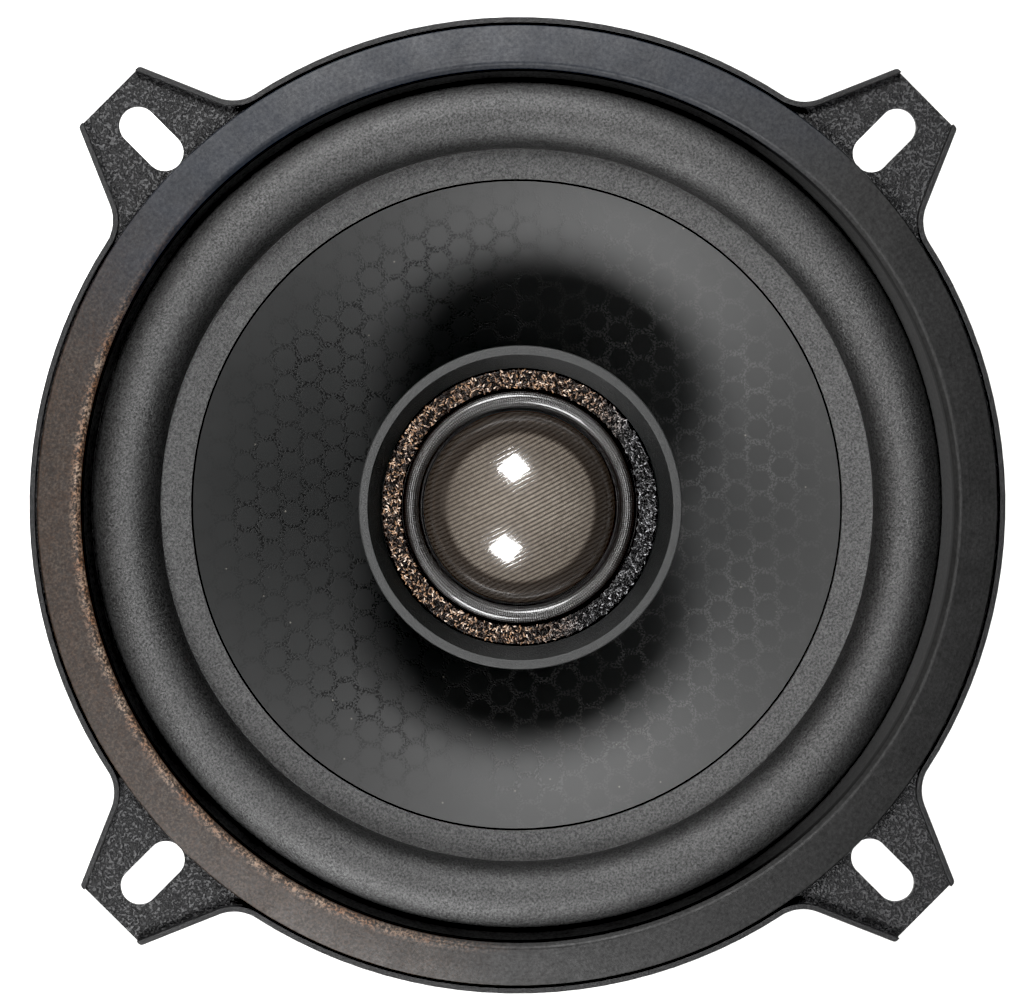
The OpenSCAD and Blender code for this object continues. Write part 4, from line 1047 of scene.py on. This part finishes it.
dress(swept("capacitor_wires", [
    [(X, END - 0.5, Z), (X, END + 0.9, Z - 0.15), (X - 0.1, END + 1.5, Z - 0.8),
     (X - 0.5, END + 1.7, Z - 2), (FACE, END + 1.7, -9.9), (FACE, END + 1.7, -10.9)],
    [(X, 0.5 - END, Z), (X, -END - 2, Z - 0.15), (X - 0.1, -END - 4.3, Z - 0.7),
     (X - 0.4, -END - 5.2, Z - 2), (FACE + 0.3, -LUG_AT, -10.4),
     (FACE + 0.3, -LUG_AT, -11.7)],
], 0.3), tinned_wire, "tinned_wire", "capacitor_leads")

# Twin wire from the tweeter, through the post, along the boot and up to the lugs
for side, pvc, which in ((1, red_pvc, "red"), (-1, black_pvc, "black")):
    route = [(x, y * side, z) for x, y, z in (
        (0.7, 0.7, -8.7), (0.7, 0.7, -30), (0.7, 0.7, -54), (0.75, 0.7, -56.8),
        (1.5, 0.7, -57.8), (3, 0.7, -58.15), (20, 0.7, -58.15), (36, 0.7, -58.15),
        (40.4, 0.7, -57.9), (42.2, 0.7, -56.4), (42.7, 0.7, -53), (42.7, 0.7, -42),
        (43.4, 1, -38), (46, 2, -33.5), (50, 5, -30), (53.2, 8.6, -27.6), (55, 10.6, -26.2),
        (56.2, 11.3, -25.4), (56.6, 11.4, -24.3), (56.6, 11.4, -21), (56.6, 11.4, -18))]
    dress(swept("tweeter_wire_" + which, [route], 0.5), pvc, "wire_insulation", "tweeter_leads")

# ---- stage ----
FLOOR_SIDE = 4  # half the floor's width, in metres
floor_z = cad_box[0].z - 0.1 * MM
floor = new_object("floor", [(x * FLOOR_SIDE, y * FLOOR_SIDE, floor_z) for x, y in
                             ((-1, -1), (1, -1), (1, 1), (-1, 1))], [[0, 1, 2, 3]])
floor_finish, tree, paper = finish_of("white_paper", Base_Color=srgb("#f3f3f2"), Roughness=0.9)
# Far from the object the paper runs into the white backdrop, for the camera only
plain_white = add(tree, "ShaderNodeEmission", {"Color": srgb("#f7f7f6")})
far_off = add(tree, RANGE, {"Value": radius_of(tree), "From Min": 0.15, "From Max": 0.6})
away = add(tree, MATH, {0: far_off,
                        1: add(tree, "ShaderNodeLightPath").outputs["Is Camera Ray"]},
           operation="MULTIPLY")
join(tree.get_output_node("ALL"), {
    "Surface": add(tree, "ShaderNodeMixShader", {0: away, 1: paper, 2: plain_white})})
floor.data.materials.append(floor_finish)


def toward(right, up, forward):
    """A direction given in the view's right, up and forward."""
    return (RIGHT * right + UP * up + FORWARD * forward).normalized()


def facing(place, back):
    """Stands something at a place with its back that way and its top towards the view's top."""
    across = UP.cross(back).normalized()
    return (Matrix.Translation(place)
            @ Matrix((across, back.cross(across), back)).transposed().to_4x4())


def softbox(name, direction, distance, side, watts, colour):
    """A square light that faces the origin, with one corner towards the view's top."""
    light = bpy.data.lights.new(name, "AREA")
    light.shape, light.size, light.energy = "SQUARE", side, watts
    light.color = srgb(colour)[:3]
    placed(name, light).matrix_world = (facing(direction * distance, direction)
                                        @ Matrix.Rotation(math.radians(45), 4, "Z"))


softbox("upper_softbox", toward(-0.088, 0.645, 0.756), 0.5, 0.2, 5.2, "#ffffff")
softbox("lower_softbox", toward(-0.215, -0.690, 0.690), 0.5, 0.2, 5.2, "#ffffff")
softbox("left_fill", toward(-0.75, 0.10, 0.65), 1.1, 1.6, 1.6, "#fff0e0")

world = bpy.data.worlds.new("studio")
bpy.context.scene.world = world
world.use_nodes = True
tree = world.node_tree
tree.nodes.clear()
seen = add(tree, "ShaderNodeLightPath").outputs["Is Camera Ray"]
room, backdrop = (add(tree, "ShaderNodeBackground", {"Color": srgb(colour), "Strength": strength})
                  for colour, strength in (("#f2f4f8", 0.03), ("#f7f7f6", 1.0)))
both = add(tree, "ShaderNodeMixShader", {0: seen, 1: room, 2: backdrop})
add(tree, "ShaderNodeOutputWorld", {"Surface": both})

# The camera stands a little off the axis; a small lens shift keeps the flange round
RIM_Z, FAR, WIDE = 2.2, 450, 136.05  # rim's height, camera's distance, width of the view
OFF = Vector((-44.44, 31.78))  # where the axis of the lens would stand with no tilt at all
LEAN, SHIFT = 0.30, 0.15  # shares of it that are made by tilt and by shift
AIM = Vector((-0.99, 0.70))  # what the middle of the view looks at
SENSOR = 36
camera_data = bpy.data.cameras.new("camera")
camera_data.sensor_width, camera_data.lens = SENSOR, SENSOR * FAR / WIDE
camera_data.shift_x, camera_data.shift_y = -SHIFT * OFF / WIDE
camera_data.clip_start, camera_data.clip_end = 0.01, 20
camera = placed("camera", camera_data)
stand, target = (
    (RIGHT * off.x + UP * off.y + FORWARD * height) * MM
    for off, height in ((OFF * (LEAN + SHIFT), RIM_Z + FAR), (OFF * SHIFT + AIM, RIM_Z)))
camera.matrix_world = facing(stand, (stand - target).normalized())
bpy.context.scene.camera = camera
view = bpy.context.scene.view_settings
view.view_transform = "Standard"
view.use_curve_mapping = True
view.curve_mapping.black_level = (0.008, 0.008, 0.008)  # a little more contrast in the darks
view.curve_mapping.update()
